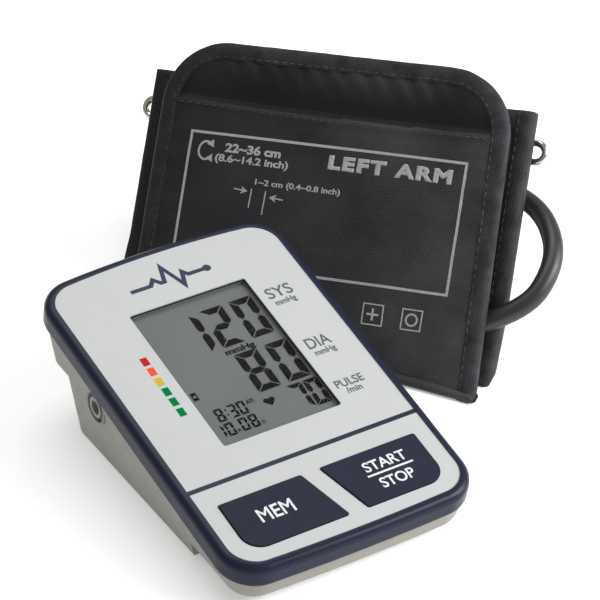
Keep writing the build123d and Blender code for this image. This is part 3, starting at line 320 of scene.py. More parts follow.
navy = plastic("navy_plastic", (0.013, 0.016, 0.034), 0.3, 0.35, 0.006, Specular_IOR_Level=0.17)
white = plastic(
    "white_plastic", (0.47, 0.485, 0.48), 0.45, 0.3, 0.004, spread=0.01, Specular_IOR_Level=0.3
)
grey = plastic(
    "grey_plastic", (0.30, 0.288, 0.262), 0.55, 0.35, 0.02, spread=0.03, Specular_IOR_Level=0.35
)
key_navy = plastic("key_plastic", (0.018, 0.022, 0.038), 0.55, 0.3, 0.01, Specular_IOR_Level=0.1)
dark = plastic("dark_plastic", (0.02, 0.02, 0.02), 0.5, 0.5, 0.01)
jack_grey = plastic("jack_plastic", (0.26, 0.25, 0.23), 0.5, 0.5, 0.01)
plug_grey = plastic("plug_plastic", (0.16, 0.15, 0.14), 0.45, 0.5, 0.01)
board_green = circuit("circuit_board")
screen = display_glass("display_glass")
window = clear_window("clear_window")
jacket = cell_jacket("battery_jacket")
steel = metal("plated_steel", (0.55, 0.55, 0.54), 0.3)
nickel = metal("polished_nickel", (0.66, 0.62, 0.56), 0.14)
rubber = plastic("black_rubber", (0.03, 0.03, 0.03), 0.75, 0.4, 0.02)
hose_rubber = plastic(
    "hose_rubber", (0.024, 0.023, 0.0215), 0.4, 1.2, 0.02, spread=0.1, Specular_IOR_Level=0.5
)
silicone = plastic("silicone_tube", (0.5, 0.5, 0.47), 0.4, 1.0, 0.01)
nylon = twill("cuff_nylon", (0.038, 0.038, 0.042), 0.7)
# the pocket's nylon, with painted shade in the recess above the seam
pocket_shade_nylon = twill("pocket_painted_shade", (0.036, 0.036, 0.040), 0.75, painted_pocket_shade=True)
tape = tape_cloth("binding_tape", (0.036, 0.036, 0.040))
thread = tape_cloth("sewing_thread", (0.075, 0.075, 0.082), 0.3)
hooks = hook_cloth("hook_and_loop", (0.02, 0.02, 0.022))
ink_navy = printed("navy_ink", (0.028, 0.032, 0.075))
ink_grey = printed("grey_ink", (0.11, 0.115, 0.12))
ink_white = printed("white_ink", (0.72, 0.73, 0.74))
ink_cuff = printed("silver_ink", (0.36, 0.37, 0.38), 0.5)
ink_black = printed("segment_black", (0.006, 0.0045, 0.004), 0.5, 0.03)
# painted shade for the edge of the display window
window_edge_shade_ink = printed("window_edge_painted_shade", (0.01, 0.01, 0.01), 0.5, 0.1)
ink_screen = printed("pointer_grey", (0.2, 0.21, 0.2))
BAR_INKS = (
    printed("red_ink", (0.46, 0.014, 0.011), 0.5, 0.05),
    printed("orange_ink", (0.76, 0.08, 0.028), 0.5, 0.05),
    printed("yellow_ink", (0.55, 0.40, 0.035), 0.5, 0.05),
    printed("green_ink", (0.001, 0.19, 0.055), 0.5, 0.0),
)

FINISHES = {
    navy: ("upper_cover",),
    key_navy: ("mem_key", "start_stop_key"),
    white: ("display_panel", "key_panel"),
    grey: ("lower_housing", "battery_door"),
    window: ("lcd_lens",),
    screen: ("lcd_glass",),
    dark: (
        "lcd_frame",
        "air_manifold",
        "release_valve",
        "pump_head",
        "microcontroller",
        "buzzer",
        "mem_switch",
        "start_switch",
        "pressure_sensor",
        "capacitors",
    ),
    board_green: ("main_board",),
    steel: (
        "board_screws",
        "housing_screws",
        "battery_contacts",
        "battery_springs",
        "pump_motor",
        "pump_rotor",
        "valve_plunger",
    ),
    jacket: ("batteries",),
    rubber: ("rubber_feet", "door_foot", "bladder"),
    silicone: ("pump_tube", "valve_tube", "sensor_tube", "jack_tube"),
    jack_grey: ("air_jack",),
    nickel: ("d_ring",),
    hose_rubber: ("hose_port",),
    plug_grey: ("air_plug",),
    tape: ("coil_tie",),
}
for finish, names in FINISHES.items():
    for name in names:
        mesh = nodes[name].data
        mesh.materials.clear()
        mesh.materials.append(finish)

# ---- air hose ------------------------------------------------------------------------------
HOSE_R = 3.75
HOSE_ROUTE = (
    (89.0, 8.4, 11.2),
    (111.6, -10.9, 21.8),
    (130.7, -5.7, 35.9),
    (140.7, 15.9, 41.3),
    (141.0, 40.2, 39.3),
    (140.5, 61.5, 30.8),
    (153.0, 90.1, 18.3),
    (168.0, 100.1, 17.7),
)
COIL_CENTRE = Vector((146.9, 131.7, 0))
COIL_R = 38.0
COIL_TURNS = 1.75
COIL_LIFT = 0.8
COIL_STEPS = 16  # points on each turn
HOSE_END = 27.0


def hose_points():
    """The route to the coil, the turns, and the straight end into the plug."""
    points = [Vector(point) for point in HOSE_ROUTE]
    steps = int(COIL_TURNS * COIL_STEPS)
    top = COIL_LIFT + HOSE_R + COIL_TURNS * 2 * HOSE_R
    for step in range(1, steps + 1):
        angle = 2 * math.pi * step / COIL_STEPS
        around = along * math.cos(angle) + behind * math.sin(angle)
        height = top - 2 * HOSE_R * step / COIL_STEPS
        points.append(COIL_CENTRE + around * COIL_R + Vector((0, 0, height)))
    for part in (1, 2, 3):
        points.append(points[-1] + along * HOSE_END / 3)
    return [point * MM for point in points]


def add_hose():
    points = hose_points()
    data = bpy.data.curves.new("air_hose_tube", "CURVE")
    data.dimensions = "3D"
    data.bevel_depth = HOSE_R * MM
    data.bevel_resolution = 8
    data.resolution_u = 12
    data.use_fill_caps = True
    spline = data.splines.new("NURBS")
    spline.points.add(len(points) - 1)
    for point, place in zip(spline.points, points):
        point.co = (*place, 1)
    spline.order_u = 3
    spline.use_endpoint_u = True
    data.materials.append(hose_rubber)
    hose = bpy.data.objects.new("air_hose_tube", data)
    bpy.context.scene.collection.objects.link(hose)
    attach(hose, MAIN)
    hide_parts("air_hose", "hose_coil", "air_hose_end")


add_hose()

# ---- floor and light -------------------------------------------------------------------------


def add_floor():
    data = bpy.data.meshes.new("floor")
    data.from_pydata([(-6, -6, 0), (6, -6, 0), (6, 6, 0), (-6, 6, 0)], [], [(0, 1, 2, 3)])
    shader = Shader("floor_white", (0.93, 0.93, 0.93), 0.9, Emission_Strength=0.3)
    shader.surface.inputs["Emission Color"].default_value = (1, 1, 1, 1)
    shader.vary_roughness(shader.noise(3), 0.85, 0.95)
    data.materials.append(shader.material)
    floor = bpy.data.objects.new("floor", data)
    bpy.context.scene.collection.objects.link(floor)


def add_area(name, place, size, power):
    data = bpy.data.lights.new(name, "AREA")
    data.shape = "RECTANGLE"
    data.size = size[0]
    data.size_y = size[1]
    data.energy = power
    light = bpy.data.objects.new(name, data)
    light.location = place
    light.rotation_euler = (Vector(place) - CAMERA_TARGET).to_track_quat("Z", "Y").to_euler()
    bpy.context.scene.collection.objects.link(light)


def add_light():
    world = bpy.data.worlds.new("studio")
    world.use_nodes = True
    background = world.node_tree.nodes["Background"]
    background.inputs["Color"].default_value = (1, 1, 1, 1)
    background.inputs["Strength"].default_value = 0.34
    bpy.context.scene.world = world
    add_area("top_softbox", (0.1, 0.5, 1.3), (1.2, 0.9), 10)
    add_area("right_softbox", (1.1, -0.6, 0.6), (0.6, 0.9), 14)
    add_area("near_softbox", (0.42, -0.5, 0.42), (0.3, 0.3), 2.6)


add_floor()
add_light()
bpy.context.scene.view_settings.view_transform = "Standard"

# ---- printing and display ----------------------------------------------------------------------


def link_piece(name, data, material, body=MAIN):
    data.materials.append(material)
    piece = bpy.data.objects.new(name, data)
    bpy.context.scene.collection.objects.link(piece)
    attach(piece, body)
    return piece


PRINT_T = 0.03  # thickness of the ink


def letters(words, height, width, bold, spacing=1.0):
    """A mesh of one line of text about the origin; height is that of a capital."""
    data = bpy.data.curves.new("letters", "FONT")
    data.body = words
    data.space_character = spacing
    data.size = height / 0.7
    data.align_x = "CENTER"
    data.bevel_depth = bold
    data.bevel_resolution = 0
    text = bpy.data.objects.new("letters", data)
    bpy.context.scene.collection.objects.link(text)
    bpy.context.view_layer.update()
    mesh = bpy.data.meshes.new_from_object(text)
    bpy.data.objects.remove(text)
    spread = [vertex.co.x for vertex in mesh.vertices]
    stretch = width / (max(spread) - min(spread))
    middle = (max(spread) + min(spread)) / 2
    flat = Matrix.Diagonal((stretch, 1, PRINT_T / (2 * bold), 1))
    mesh.transform(flat @ Matrix.Translation((-middle, -height / 2, 0)))
    return mesh


def write(name, words, plane, middle, height, width, material, body=MAIN, bold=0.1):
    """One word or number on a plane, with its centre at middle."""
    mesh = letters(words, height, width, bold)
    mesh.transform(plane @ Matrix.Translation(middle))
    return link_piece(name, mesh, material, body)


def plates(name, shapes, bottom, top):
    """A mesh of thin flat plates with the given outlines."""
    mesh = bpy.data.meshes.new(name)
    build = bmesh.new()
    for outline in shapes:
        low = [build.verts.new((x, y, bottom)) for x, y in outline]
        high = [build.verts.new((x, y, top)) for x, y in outline]
        build.faces.new(list(reversed(low)))
        build.faces.new(high)
        for i in range(len(outline)):
            j = (i + 1) % len(outline)
            build.faces.new((low[i], low[j], high[j], high[i]))
    bmesh.ops.recalc_face_normals(build, faces=build.faces)
    build.to_mesh(mesh)
    build.free()
    return mesh


def flat_shapes(name, shapes, plane, height, thick, material, body=MAIN):
    """Printing or display segments on a plane."""
    mesh = plates(name, shapes, height, height + thick)
    mesh.transform(plane)
    return link_piece(name, mesh, material, body)


def rectangle(x0, y0, x1, y1):
    return [(x0, y0), (x1, y0), (x1, y1), (x0, y1)]


def circle(x, y, radius, steps):
    outline = []
    for step in range(steps):
        angle = 2 * math.pi * step / steps
        outline.append((x + radius * math.cos(angle), y + radius * math.sin(angle)))
    return outline


SEGMENTS = {
    "0": "abcdef",
    "1": "ef",
    "2": "abdeg",
    "3": "abcdg",
    "7": "abc",
    "8": "abcdefg",
}
SLANT = 0.035
SEGMENT_GAP = 0.06  # of the stroke's width


def digit(value, x, y, width, height, stroke):
    """The outlines of one seven-segment digit; x and y are its lower left corner."""
    gap = SEGMENT_GAP * stroke
    half = height / 2
    outlines = {
        "a": [
            (gap, height),
            (width - gap, height),
            (width - stroke - gap, height - stroke),
            (stroke + gap, height - stroke),
        ],
        "g": [
            (stroke / 2 + gap, half),
            (stroke + gap, half + stroke / 2),
            (width - stroke - gap, half + stroke / 2),
            (width - stroke / 2 - gap, half),
            (width - stroke - gap, half - stroke / 2),
            (stroke + gap, half - stroke / 2),
        ],
        "f": [
            (0, height - 2 * gap),
            (stroke, height - stroke - 2 * gap),
            (stroke, half + stroke / 2 + gap),
            (stroke / 2, half + gap),
            (0, half + stroke / 2 + gap),
        ],
    }
    outlines["d"] = [(px, height - py) for px, py in outlines["a"]]
    outlines["e"] = [(px, height - py) for px, py in outlines["f"]]
    outlines["b"] = [(width - px, py) for px, py in outlines["f"]]
    outlines["c"] = [(width - px, height - py) for px, py in outlines["f"]]
    shapes = []
    for key in SEGMENTS[value]:
        shapes.append([(x + px + SLANT * py, y + py) for px, py in outlines[key]])
    return shapes


SCREEN_TOP = -2.0
DIGITS = (  # value, x, y, width, height, stroke
    ("1", -3.9, 21.0, 8.9, 19.0, 2.8),
    ("2", 0.5, 21.0, 8.9, 19.0, 2.8),
    ("0", 12.2, 20.9, 8.9, 19.0, 2.8),
    ("8", 1.2, -2.4, 8.9, 19.0, 2.8),
    ("0", 13.1, -2.5, 8.9, 19.0, 2.8),
    ("7", 10.5, -16.1, 5.7, 12.3, 1.85),
    ("0", 16.8, -16.1, 5.7, 12.3, 1.85),
    ("8", -18.0, -9.0, 3.1, 6.1, 0.95),
    ("3", -12.9, -9.0, 3.1, 6.1, 0.95),
    ("0", -9.3, -9.0, 3.1, 6.1, 0.95),
    ("1", -19.3, -15.8, 3.1, 5.9, 0.95),
    ("0", -17.8, -15.8, 3.1, 5.9, 0.95),
    ("0", -12.4, -15.8, 3.1, 5.9, 0.95),
    ("8", -8.6, -15.8, 3.1, 5.9, 0.95),
)


def heart(x, y, size):
    """A heart's outline from its usual curve."""
    outline = []
    for step in range(28):
        t = 2 * math.pi * step / 28
        px = 16 * math.sin(t) ** 3
        py = 13 * math.cos(t) - 5 * math.cos(2 * t) - 2 * math.cos(3 * t) - math.cos(4 * t)
        outline.append((x + px * size / 32, y + py * size / 32))
    return outline


WINDOW_HALF_W, WINDOW_HALF_L, WINDOW_AT, WINDOW_CORNER = 23.1, 33.55, 13.1, 1.0
WINDOW_RING_T = 0.3


def window_outline(inset):
    outline = []
    for quarter, (sx, sy) in enumerate(((1, 1), (-1, 1), (-1, -1), (1, -1))):
        cx = sx * (WINDOW_HALF_W - WINDOW_CORNER)
        cy = WINDOW_AT + sy * (WINDOW_HALF_L - WINDOW_CORNER)
        for step in range(7):
            angle = math.pi / 2 * (quarter + step / 6)
            reach = WINDOW_CORNER - inset
            outline.append((cx + reach * math.cos(angle), cy + reach * math.sin(angle)))
    return outline


def window_ring(name, low, high, material):
    """A thin wall just inside the display window."""
    build = bmesh.new()
    loops = []
    for inset, height in ((0.02, low), (0.02, high), (WINDOW_RING_T, high), (WINDOW_RING_T, low)):
        loops.append([build.verts.new((x, y, height)) for x, y in window_outline(inset)])
    for loop, after in zip(loops, loops[1:] + loops[:1]):
        for i in range(len(loop)):
            j = (i + 1) % len(loop)
            build.faces.new((loop[i], loop[j], after[j], after[i]))
    bmesh.ops.recalc_face_normals(build, faces=build.faces)
    mesh = bpy.data.meshes.new(name)
    build.to_mesh(mesh)
    build.free()
    mesh.transform(FACE)
    return link_piece(name, mesh, material)


def add_display():
    shapes = []
    for entry in DIGITS:
        shapes += digit(*entry)
    shapes.append(heart(2.5, -7.2, 4.4))
    shapes.append(rectangle(-13.9, -7.2, -13.3, -6.4))
    shapes.append(rectangle(-13.8, -5.0, -13.2, -4.2))
    shapes.append(rectangle(-21.1, 3.2, -19.0, 7.0))
    flat_shapes("lcd_segments", shapes, FACE, SCREEN_TOP, 0.03, ink_black)
    # painted shade: a thin black ring round the window's edge stands in for the shadowed edge of the
    # recessed display window
    window_ring("lcd_window_edge_shade", -1.0, -0.5, window_edge_shade_ink)
    window_ring("lcd_window_wall", -2.0, -1.0, screen)
    marker = [(-20.7, 5.1), (-19.6, 4.4), (-19.6, 5.8)]
    flat_shapes("lcd_marker", [marker], FACE, SCREEN_TOP, 0.04, ink_screen)
    words = (
        ("lcd_unit", "mmHg", (5.6, 18.75), 2.5, 11.7, 0.15),
        ("lcd_am", "AM", (-3.9, -4.4), 2.2, 2.9, 0.08),
        ("lcd_month", "M", (-13.6, -14.6), 1.5, 1.1, 0.08),
        ("lcd_day", "D", (-4.0, -14.6), 1.6, 1.2, 0.08),
    )
    for name, text, (x, y), height, width, bold in words:
        place = (x, y, SCREEN_TOP + PRINT_T)
        write(name, text, FACE, place, height, width, ink_black, bold=bold)


def add_panel_print():
    labels = (
        ("sys_label", "SYS", (31.1, 35.9), 5.0, 10.1),
        ("sys_unit", "mmHg", (31.1, 31.0), 2.5, 8.3),
        ("dia_label", "DIA", (31.0, 8.9), 5.0, 9.3),
        ("dia_unit", "mmHg", (31.2, 4.1), 2.5, 8.3),
        ("pulse_label", "PULSE", (31.1, -12.0), 3.5, 11.0),
        ("pulse_unit", "/min", (30.9, -15.8), 2.7, 6.1),
    )
    for name, text, (x, y), height, width in labels:
        write(name, text, FACE, (x, y, PRINT_T / 2), height, width, ink_grey, bold=0.11)
    for index, middle in enumerate((25.1, 20.0, 14.8, 9.7, 4.6, -0.6)):
        ink = BAR_INKS[min(index, 3)]
        bar = rectangle(-29.8, middle - 1.9, -27.2, middle + 1.9)
        flat_shapes(f"colour_bar_{index + 1}", [bar], FACE, 0.0, 0.03, ink)


KEY_TOP = 0.5
PULSE_REST = 56.5  # height of the pulse line between beats
PULSE_END = 13.5
PULSE_DOT_R = 1.6
PULSE_LINE = (
    (-17, PULSE_REST),
    (-9, PULSE_REST),
    (-7, 59),
    (-5, PULSE_REST),
    (-3.5, PULSE_REST),
    (-1.5, 63.5),
    (2.5, 52.5),
    (4.5, 58.5),
    (6, PULSE_REST),
    (PULSE_END, PULSE_REST),
)


def ribbon(points, width):
    """Quads along a polyline, mitred at its corners."""
    sides = []
    for i, (x, y) in enumerate(points):
        before = Vector(points[max(i - 1, 0)])
        after = Vector(points[min(i + 1, len(points) - 1)])
        here = Vector((x, y))
        first = (here - before).normalized() if i > 0 else (after - here).normalized()
        second = (after - here).normalized() if i < len(points) - 1 else first
        middle = (first + second).normalized()
        across = Vector((-middle.y, middle.x))
        reach = width / 2 / max(0.35, across.dot(Vector((-first.y, first.x))))
        sides.append((here + across * reach, here - across * reach))
    quads = []
    for (a, b), (c, d) in zip(sides, sides[1:]):
        quads.append([tuple(a), tuple(b), tuple(d), tuple(c)])
    return quads


def add_pulse_glyph():
    """A plain pulse line above the display."""
    flat_shapes("pulse_glyph", ribbon(PULSE_LINE, 1.7), FACE, 0.0, 0.03, ink_navy)
    dot = circle(PULSE_END, PULSE_REST, PULSE_DOT_R, 16)
    flat_shapes("pulse_glyph_dot", [dot], FACE, 0.0, 0.04, ink_navy)


def add_key_print():
    top = KEY_TOP + PRINT_T / 2
    start = "start_stop_key"
    labels = (
        ("mem_label", "MEM", (-21.9, -52.4, top), 5.6, 13.2, "mem_key"),
        ("start_label", "START", (22.3, -49.2, top), 4.2, 16.4, start),
        ("stop_label", "STOP", (22.5, -57.3, top), 4.3, 13.0, start),
    )
    for name, text, middle, height, width, body in labels:
        write(name, text, FACE, middle, height, width, ink_white, body, bold=0.14)
    rule = rectangle(13.5, -53.5, 31.3, -52.7)
    flat_shapes("key_rule", [rule], FACE, KEY_TOP, PRINT_T, ink_white, start)


add_display()
add_panel_print()
add_pulse_glyph()
add_key_print()

# ---- cuff: folded fabric ------------------------------------------------------------------------
POUCH_LEFT, POUCH_RIGHT, POUCH_FOOT_RIGHT = -140.0, -5.0, -2.0
POUCH_TOP, POUCH_CORNER, POUCH_T = 120.0, 24.0, 5.0
REAR_LEFT, REAR_RIGHT = -150.2, -0.5
REAR_TOP, REAR_CORNER = 109.6, 3.0
REAR_AT, REAR_T = -13.5, 7.0
BINDING_W = 6.0
SEAM_LEFT, SEAM_RIGHT, SEAM_SAG = 98.0, 97.0, 1.2
POCKET_DEEP = 40.0  # height above the seam of the faces given the painted pocket shade
REAR_SWAY = 4.5  # the rear panel's foot swings in below the hose
SWAY_REACH = 24.0
FLOOR_T = 3.0
CUFF_NORMAL = rolled.cross(climb)
TABLE_GAP = 0.3  # of the rear panel and the tape above the table
POUCH_GAP = 1.6
RIM_FOOT = -25.0  # the rims start this far down, and are lifted onto the table


def smooth_mesh(name, build, plane):
    for face in build.faces:
        face.smooth = True
    mesh = bpy.data.meshes.new(name)
    build.to_mesh(mesh)
    build.free()
    mesh.transform(plane)
    return mesh


def table_line(x, z, height):
    """Where the cuff's plane at depth z comes down to a height above the table."""
    return (height - rolled.z * x - CUFF_NORMAL.z * z) / climb.z


def ease(value):
    value = min(1.0, max(0.0, value))
    return value * value * (3 - 2 * value)


def crease(x, y, heading, long, short, seed):
    """Noise drawn out along one heading, like the soft folds of coated cloth."""
    c, s = math.cos(math.radians(heading)), math.sin(math.radians(heading))
    return noise.noise(Vector(((x * c + y * s) / long, (y * c - x * s) / short, seed)))


def corner_drop(x, left, right, radius):
    """How far a rounded corner brings the top edge down at this x."""
    inside = min(x - left, right - x)
    if inside >= radius:
        return 0.0
    reach = radius - max(inside, 0.0)
    return radius - math.sqrt(max(radius * radius - reach * reach, 0.0))


def seam_line(x):
    part = (x - POUCH_LEFT) / (POUCH_RIGHT - POUCH_LEFT)
    return SEAM_LEFT + (SEAM_RIGHT - SEAM_LEFT) * part - SEAM_SAG * math.sin(math.pi * part)


def pouch_height(x, y):
    """The front face of the bladder pouch: crowned, with the set-back pocket above its seam."""
    edge = min(x - POUCH_LEFT, POUCH_RIGHT - x)
    top = POUCH_TOP - corner_drop(x, POUCH_LEFT, POUCH_RIGHT, POUCH_CORNER)
    seam = seam_line(x)
    calm = ease((edge - 4) / 14)
    if y < seam:
        crown = 2.0 * ease(edge / 45) * ease((seam - y + 14) / 40) * ease((y + 4) / 40)
        lower_right = ease((x + 75) / 60) * ease((75 - y) / 60)
        folds = 1.0 * crease(x, y, 58, 46, 14, 1.3) * (0.3 + 1.3 * lower_right)
        folds += 0.4 * crease(x, y, 15, 30, 18, 6.1)
        pucker = 0.5 * crease(x, y, 10, 16, 4.5, 7.7) * math.exp(-((edge - 8) / 5) ** 2)
        lip = 0.5 * math.exp(-(((seam - y) - 1.2) / 1.5) ** 2)
        return crown + calm * folds + pucker + lip * calm
    rise = (y - seam) / max(top - BINDING_W - seam, 1.0)
    hollow = ease((y - seam) / 2.2) * (1 - ease((rise - 0.25) / 0.75))
    ripple = math.sin(2 * math.pi * (x + 2 * crease(x, y, 0, 20, 20, 3.0)) / 8.5 + 0.35 * (y - seam))
    gather = 0.55 * ripple * ease((rise - 0.35) / 0.4) * ease((edge - 14) / 20)
    across = 0.25 + 0.75 * ease((edge - 3) / 30)
    return (1 - ease((y - seam) / 2.2)) * 0.6 * calm - 2.9 * hollow * across + gather - 0.3


def rear_height(x, y):
    """The face of the rear panel, with slack folds at its open right end."""
    edge = min(x - REAR_LEFT, REAR_RIGHT - x)
    slack = ease((edge - 5) / 10)
    right = ease((x + 60) / 50)
    folds = 0.8 * crease(x, y, 68, 36, 10, 9.2) * (0.3 + right)
    pucker = 0.4 * crease(x, y, 5, 14, 4.5, 5.2) * math.exp(-((edge - 8) / 4) ** 2)
    fold_top = -2.4 * (1 - ease((REAR_TOP - y) / 3.5)) ** 2
    return slack * (folds - 0.45) + pucker + fold_top


def rear_swing(x, y):
    """How far the rear panel has swung in towards the front pouch, near its foot."""
    foot = table_line(x, REAR_AT + REAR_SWAY, 0)
    reach = SWAY_REACH + 5 * ease((x + 22) / 20)
    return REAR_SWAY * min(1.0, max(0.0, 1 - (y - foot) / reach)) ** 1.25


def closed_sheet(name, front, back, columns, rows, plane, material, body=MAIN):
    """Two grids of points, front(a, b) and back(a, b) with a and b from 0 to 1, joined at the rim."""
    build = bmesh.new()
    faces = []
    for side in (front, back):
        faces.append(
            [
                [build.verts.new(side(i / columns, j / rows)) for i in range(columns + 1)]
                for j in range(rows + 1)
            ]
        )
    near, far = faces
    for j in range(rows):
        for i in range(columns):
            build.faces.new((near[j][i], near[j][i + 1], near[j + 1][i + 1], near[j + 1][i]))
            build.faces.new((far[j][i], far[j + 1][i], far[j + 1][i + 1], far[j][i + 1]))
    rim = [(0, i) for i in range(columns)]
    rim += [(j, columns) for j in range(rows)]
    rim += [(rows, i) for i in range(columns, 0, -1)]
    rim += [(j, 0) for j in range(rows, 0, -1)]
    for (j, i), (jn, ins) in zip(rim, rim[1:] + rim[:1]):
        build.faces.new((near[j][i], far[j][i], far[jn][ins], near[jn][ins]))
    bmesh.ops.recalc_face_normals(build, faces=build.faces)
    return link_piece(name, smooth_mesh(name, build, plane), material, body)


def spread_out(part):
    """Sets more grid lines near both ends."""
    return part - 0.7 * math.sin(2 * math.pi * part) / (2 * math.pi)


def pouch_spot(a, b, inset=2.0):
    x = POUCH_LEFT + inset + (POUCH_RIGHT - POUCH_LEFT - 2 * inset) * spread_out(a)
    drop = corner_drop(x, POUCH_LEFT + inset, POUCH_RIGHT - inset, POUCH_CORNER - inset)
    top = POUCH_TOP - inset - drop
    low = table_line(x, 0, POUCH_GAP)
    y = low + (top - low) * b
    x += (POUCH_FOOT_RIGHT - POUCH_RIGHT) * ease((x - POUCH_LEFT) / 135) * (POUCH_TOP - y) / 140
    return x, y


def pouch_front(a, b):
    x, y = pouch_spot(a, b)
    rim = min(a, 1 - a, (1 - b) * 2)
    return (x, y, pouch_height(x, y) - 1.0 * (1 - ease(rim / 0.02)))


def pouch_back(a, b):
    x, y = pouch_spot(a, b)
    slack = 0.5 * crease(x, y, 70, 40, 14, 4.4) + 0.4
    rim = min(a, 1 - a, (1 - b) * 2, b)
    z = -POUCH_T + max(0.0, slack) * ease(rim / 0.06)
    return (x, max(y, table_line(x, z, POUCH_GAP)), z)


def rear_spot(a, b, inset=1.2):
    x = REAR_LEFT + inset + (REAR_RIGHT - REAR_LEFT - 2 * inset) * spread_out(a)
    top = REAR_TOP - corner_drop(x, REAR_LEFT, REAR_RIGHT, REAR_CORNER)
    low = table_line(x, REAR_AT + REAR_SWAY, TABLE_GAP)
    return x, low + (top - low) * b


def rear_front(a, b):
    x, y = rear_spot(a, b)
    z = REAR_AT + rear_height(x, y) + rear_swing(x, y)
    return (x, max(y, table_line(x, z, TABLE_GAP)), z)


def rear_back(a, b):
    x, y = rear_spot(a, b)
    z = REAR_AT - REAR_T - rear_height(x, y) * 0.8 - 0.4
    z += 0.25 * crease(x, y, 20, 30, 15, 2.2)
    z = max(z, REAR_AT - REAR_T) + rear_swing(x, y)
    return (x, max(y, table_line(x, z, TABLE_GAP)), z)


def paint_pocket_shade(pouch):
    """Gives the faces of the set-back cloth above the seam the nylon with painted pocket shade."""
    pouch.data.materials.append(pocket_shade_nylon)
    back = CUFF.inverted()
    for face in pouch.data.polygons:
        middle = back @ face.center
        if -3.5 < middle.z and 0.4 < middle.y - seam_line(middle.x) < POCKET_DEEP:
            face.material_index = 1


def add_panels():
    pouch = closed_sheet("cuff_pouch", pouch_front, pouch_back, 120, 160, CUFF, nylon)
    paint_pocket_shade(pouch)
    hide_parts("cuff_front")
    rear = closed_sheet("cuff_rear_panel", rear_front, rear_back, 100, 90, CUFF, nylon)
    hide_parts("cuff_rear")


# ---- cuff: binding tape and stitching -------------------------------------------------------------


def corner_rim(centre_x, start):
    """A quarter round of the pouch's rim, from a heading clockwise."""
    rim = []
    for step in range(25):
        angle = start - math.pi / 2 * step / 24
        x = centre_x + POUCH_CORNER * math.cos(angle)
        y = POUCH_TOP - POUCH_CORNER + POUCH_CORNER * math.sin(angle)
        rim.append((x, y, angle))
    return rim


def pouch_rim():
    """Points round the front pouch from its left foot to its right foot, with outward headings."""
    rim = []
    lean = math.atan2(POUCH_FOOT_RIGHT - POUCH_RIGHT, 140)
    straight = 60
    shoulder = POUCH_TOP - POUCH_CORNER
    for step in range(straight):
        rim.append((POUCH_LEFT, RIM_FOOT + (shoulder - RIM_FOOT) * step / straight, math.pi))
    rim += corner_rim(POUCH_LEFT + POUCH_CORNER, math.pi)
    for step in range(1, 40):
        width = POUCH_RIGHT - POUCH_LEFT - 2 * POUCH_CORNER
        rim.append((POUCH_LEFT + POUCH_CORNER + width * step / 40, POUCH_TOP, math.pi / 2))
    rim += corner_rim(POUCH_RIGHT - POUCH_CORNER, math.pi / 2)
    for step in range(1, straight + 1):
        y = shoulder - (shoulder - RIM_FOOT) * step / straight
        x = POUCH_RIGHT + (POUCH_FOOT_RIGHT - POUCH_RIGHT) * (shoulder - y) / 120
        rim.append((x, y, lean))
    return rim


def side_rim(x, top, heading):
    return [(x, RIM_FOOT + (top - RIM_FOOT) * step / 70, heading) for step in range(71)]


TAPE_HALF = (
    (-BINDING_W, -0.3),
    (-5.7, 0.3),
    (-5.0, 0.12),
    (-4.3, 0.42),
    (-1.6, 0.34),
    (-0.3, -0.15),
    (0.35, -1.0),
)


def tape_section(front, back):
    """Outward distance and depth of the points round a folded tape, stitch groove included."""
    near = [(out, front + z) for out, z in TAPE_HALF]
    return near + [(out, back - z) for out, z in reversed(TAPE_HALF)]


def ripple_at(distance, seed):
    return noise.noise(Vector((distance / 5.0, seed, 0.5)))


def add_tape(name, rim, front, back, node=None, swing=None):
    """Binding tape swept along a rim, gently puckered between its stitches."""
    build = bmesh.new()
    section = tape_section(front, back)
    rings = []
    travelled = 0.0
    last = rim[0]
    for x, y, heading in rim:
        travelled += math.hypot(x - last[0], y - last[1])
        last = (x, y)
        ring = []
        for index, (out, z) in enumerate(section):
            near = index < len(TAPE_HALF)
            inner = index in (0, len(section) - 1)
            shift = 0 if inner else 0.22 * ripple_at(travelled, 3.0 + near)
            sign = 1 if near else -1
            px = x + out * math.cos(heading)
            py = y + out * math.sin(heading) + 0.1 * ripple_at(travelled, 8.0)
            pz = z + sign * shift
            if swing:
                pz += swing(px, py)
            ring.append(build.verts.new((px, max(py, table_line(px, pz, TABLE_GAP)), pz)))
        rings.append(ring)
    for ring, after in zip(rings, rings[1:]):
        if all((a.co - b.co).length < 1e-6 for a, b in zip(ring, after)):
            continue
        for i in range(len(ring)):
            j = (i + 1) % len(ring)
            build.faces.new((ring[i], ring[j], after[j], after[i]))
    build.faces.new(rings[0])
    build.faces.new(list(reversed(rings[-1])))
    bmesh.ops.remove_doubles(build, verts=build.verts, dist=1e-4)
    bmesh.ops.recalc_face_normals(build, faces=build.faces)
    piece = link_piece(name, smooth_mesh(name, build, CUFF), tape)
    if node:
        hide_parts(node)
    return piece


STITCH_PITCH = 3.3
STITCH_LONG = 2.1
STITCH_R = 0.26


def thread_dashes(name, rim, inset, depths, swing=None, foot=FLOOR_T + 2):
    """Short raised threads along a line inside a rim, on each of the given depths."""
    line = [(x - inset * math.cos(t), y - inset * math.sin(t)) for x, y, t in rim]
    build = bmesh.new()
    carry = 0.0
    for first, second in zip(line, line[1:]):
        span = math.hypot(second[0] - first[0], second[1] - first[1])
        if span < 1e-6:
            continue
        ahead = Vector(((second[0] - first[0]) / span, (second[1] - first[1]) / span, 0))
        while carry < span:
            start = Vector((*first, 0)) + ahead * carry
            carry += STITCH_PITCH
            for depth, sign in depths:
                if swing:
                    depth += swing(start.x, start.y)
                if start.y < table_line(start.x, depth, foot):
                    continue
                add_stitch(build, start + Vector((0, 0, depth)), ahead, sign)
        carry -= span
    return link_piece(name, smooth_mesh(name, build, CUFF), thread)


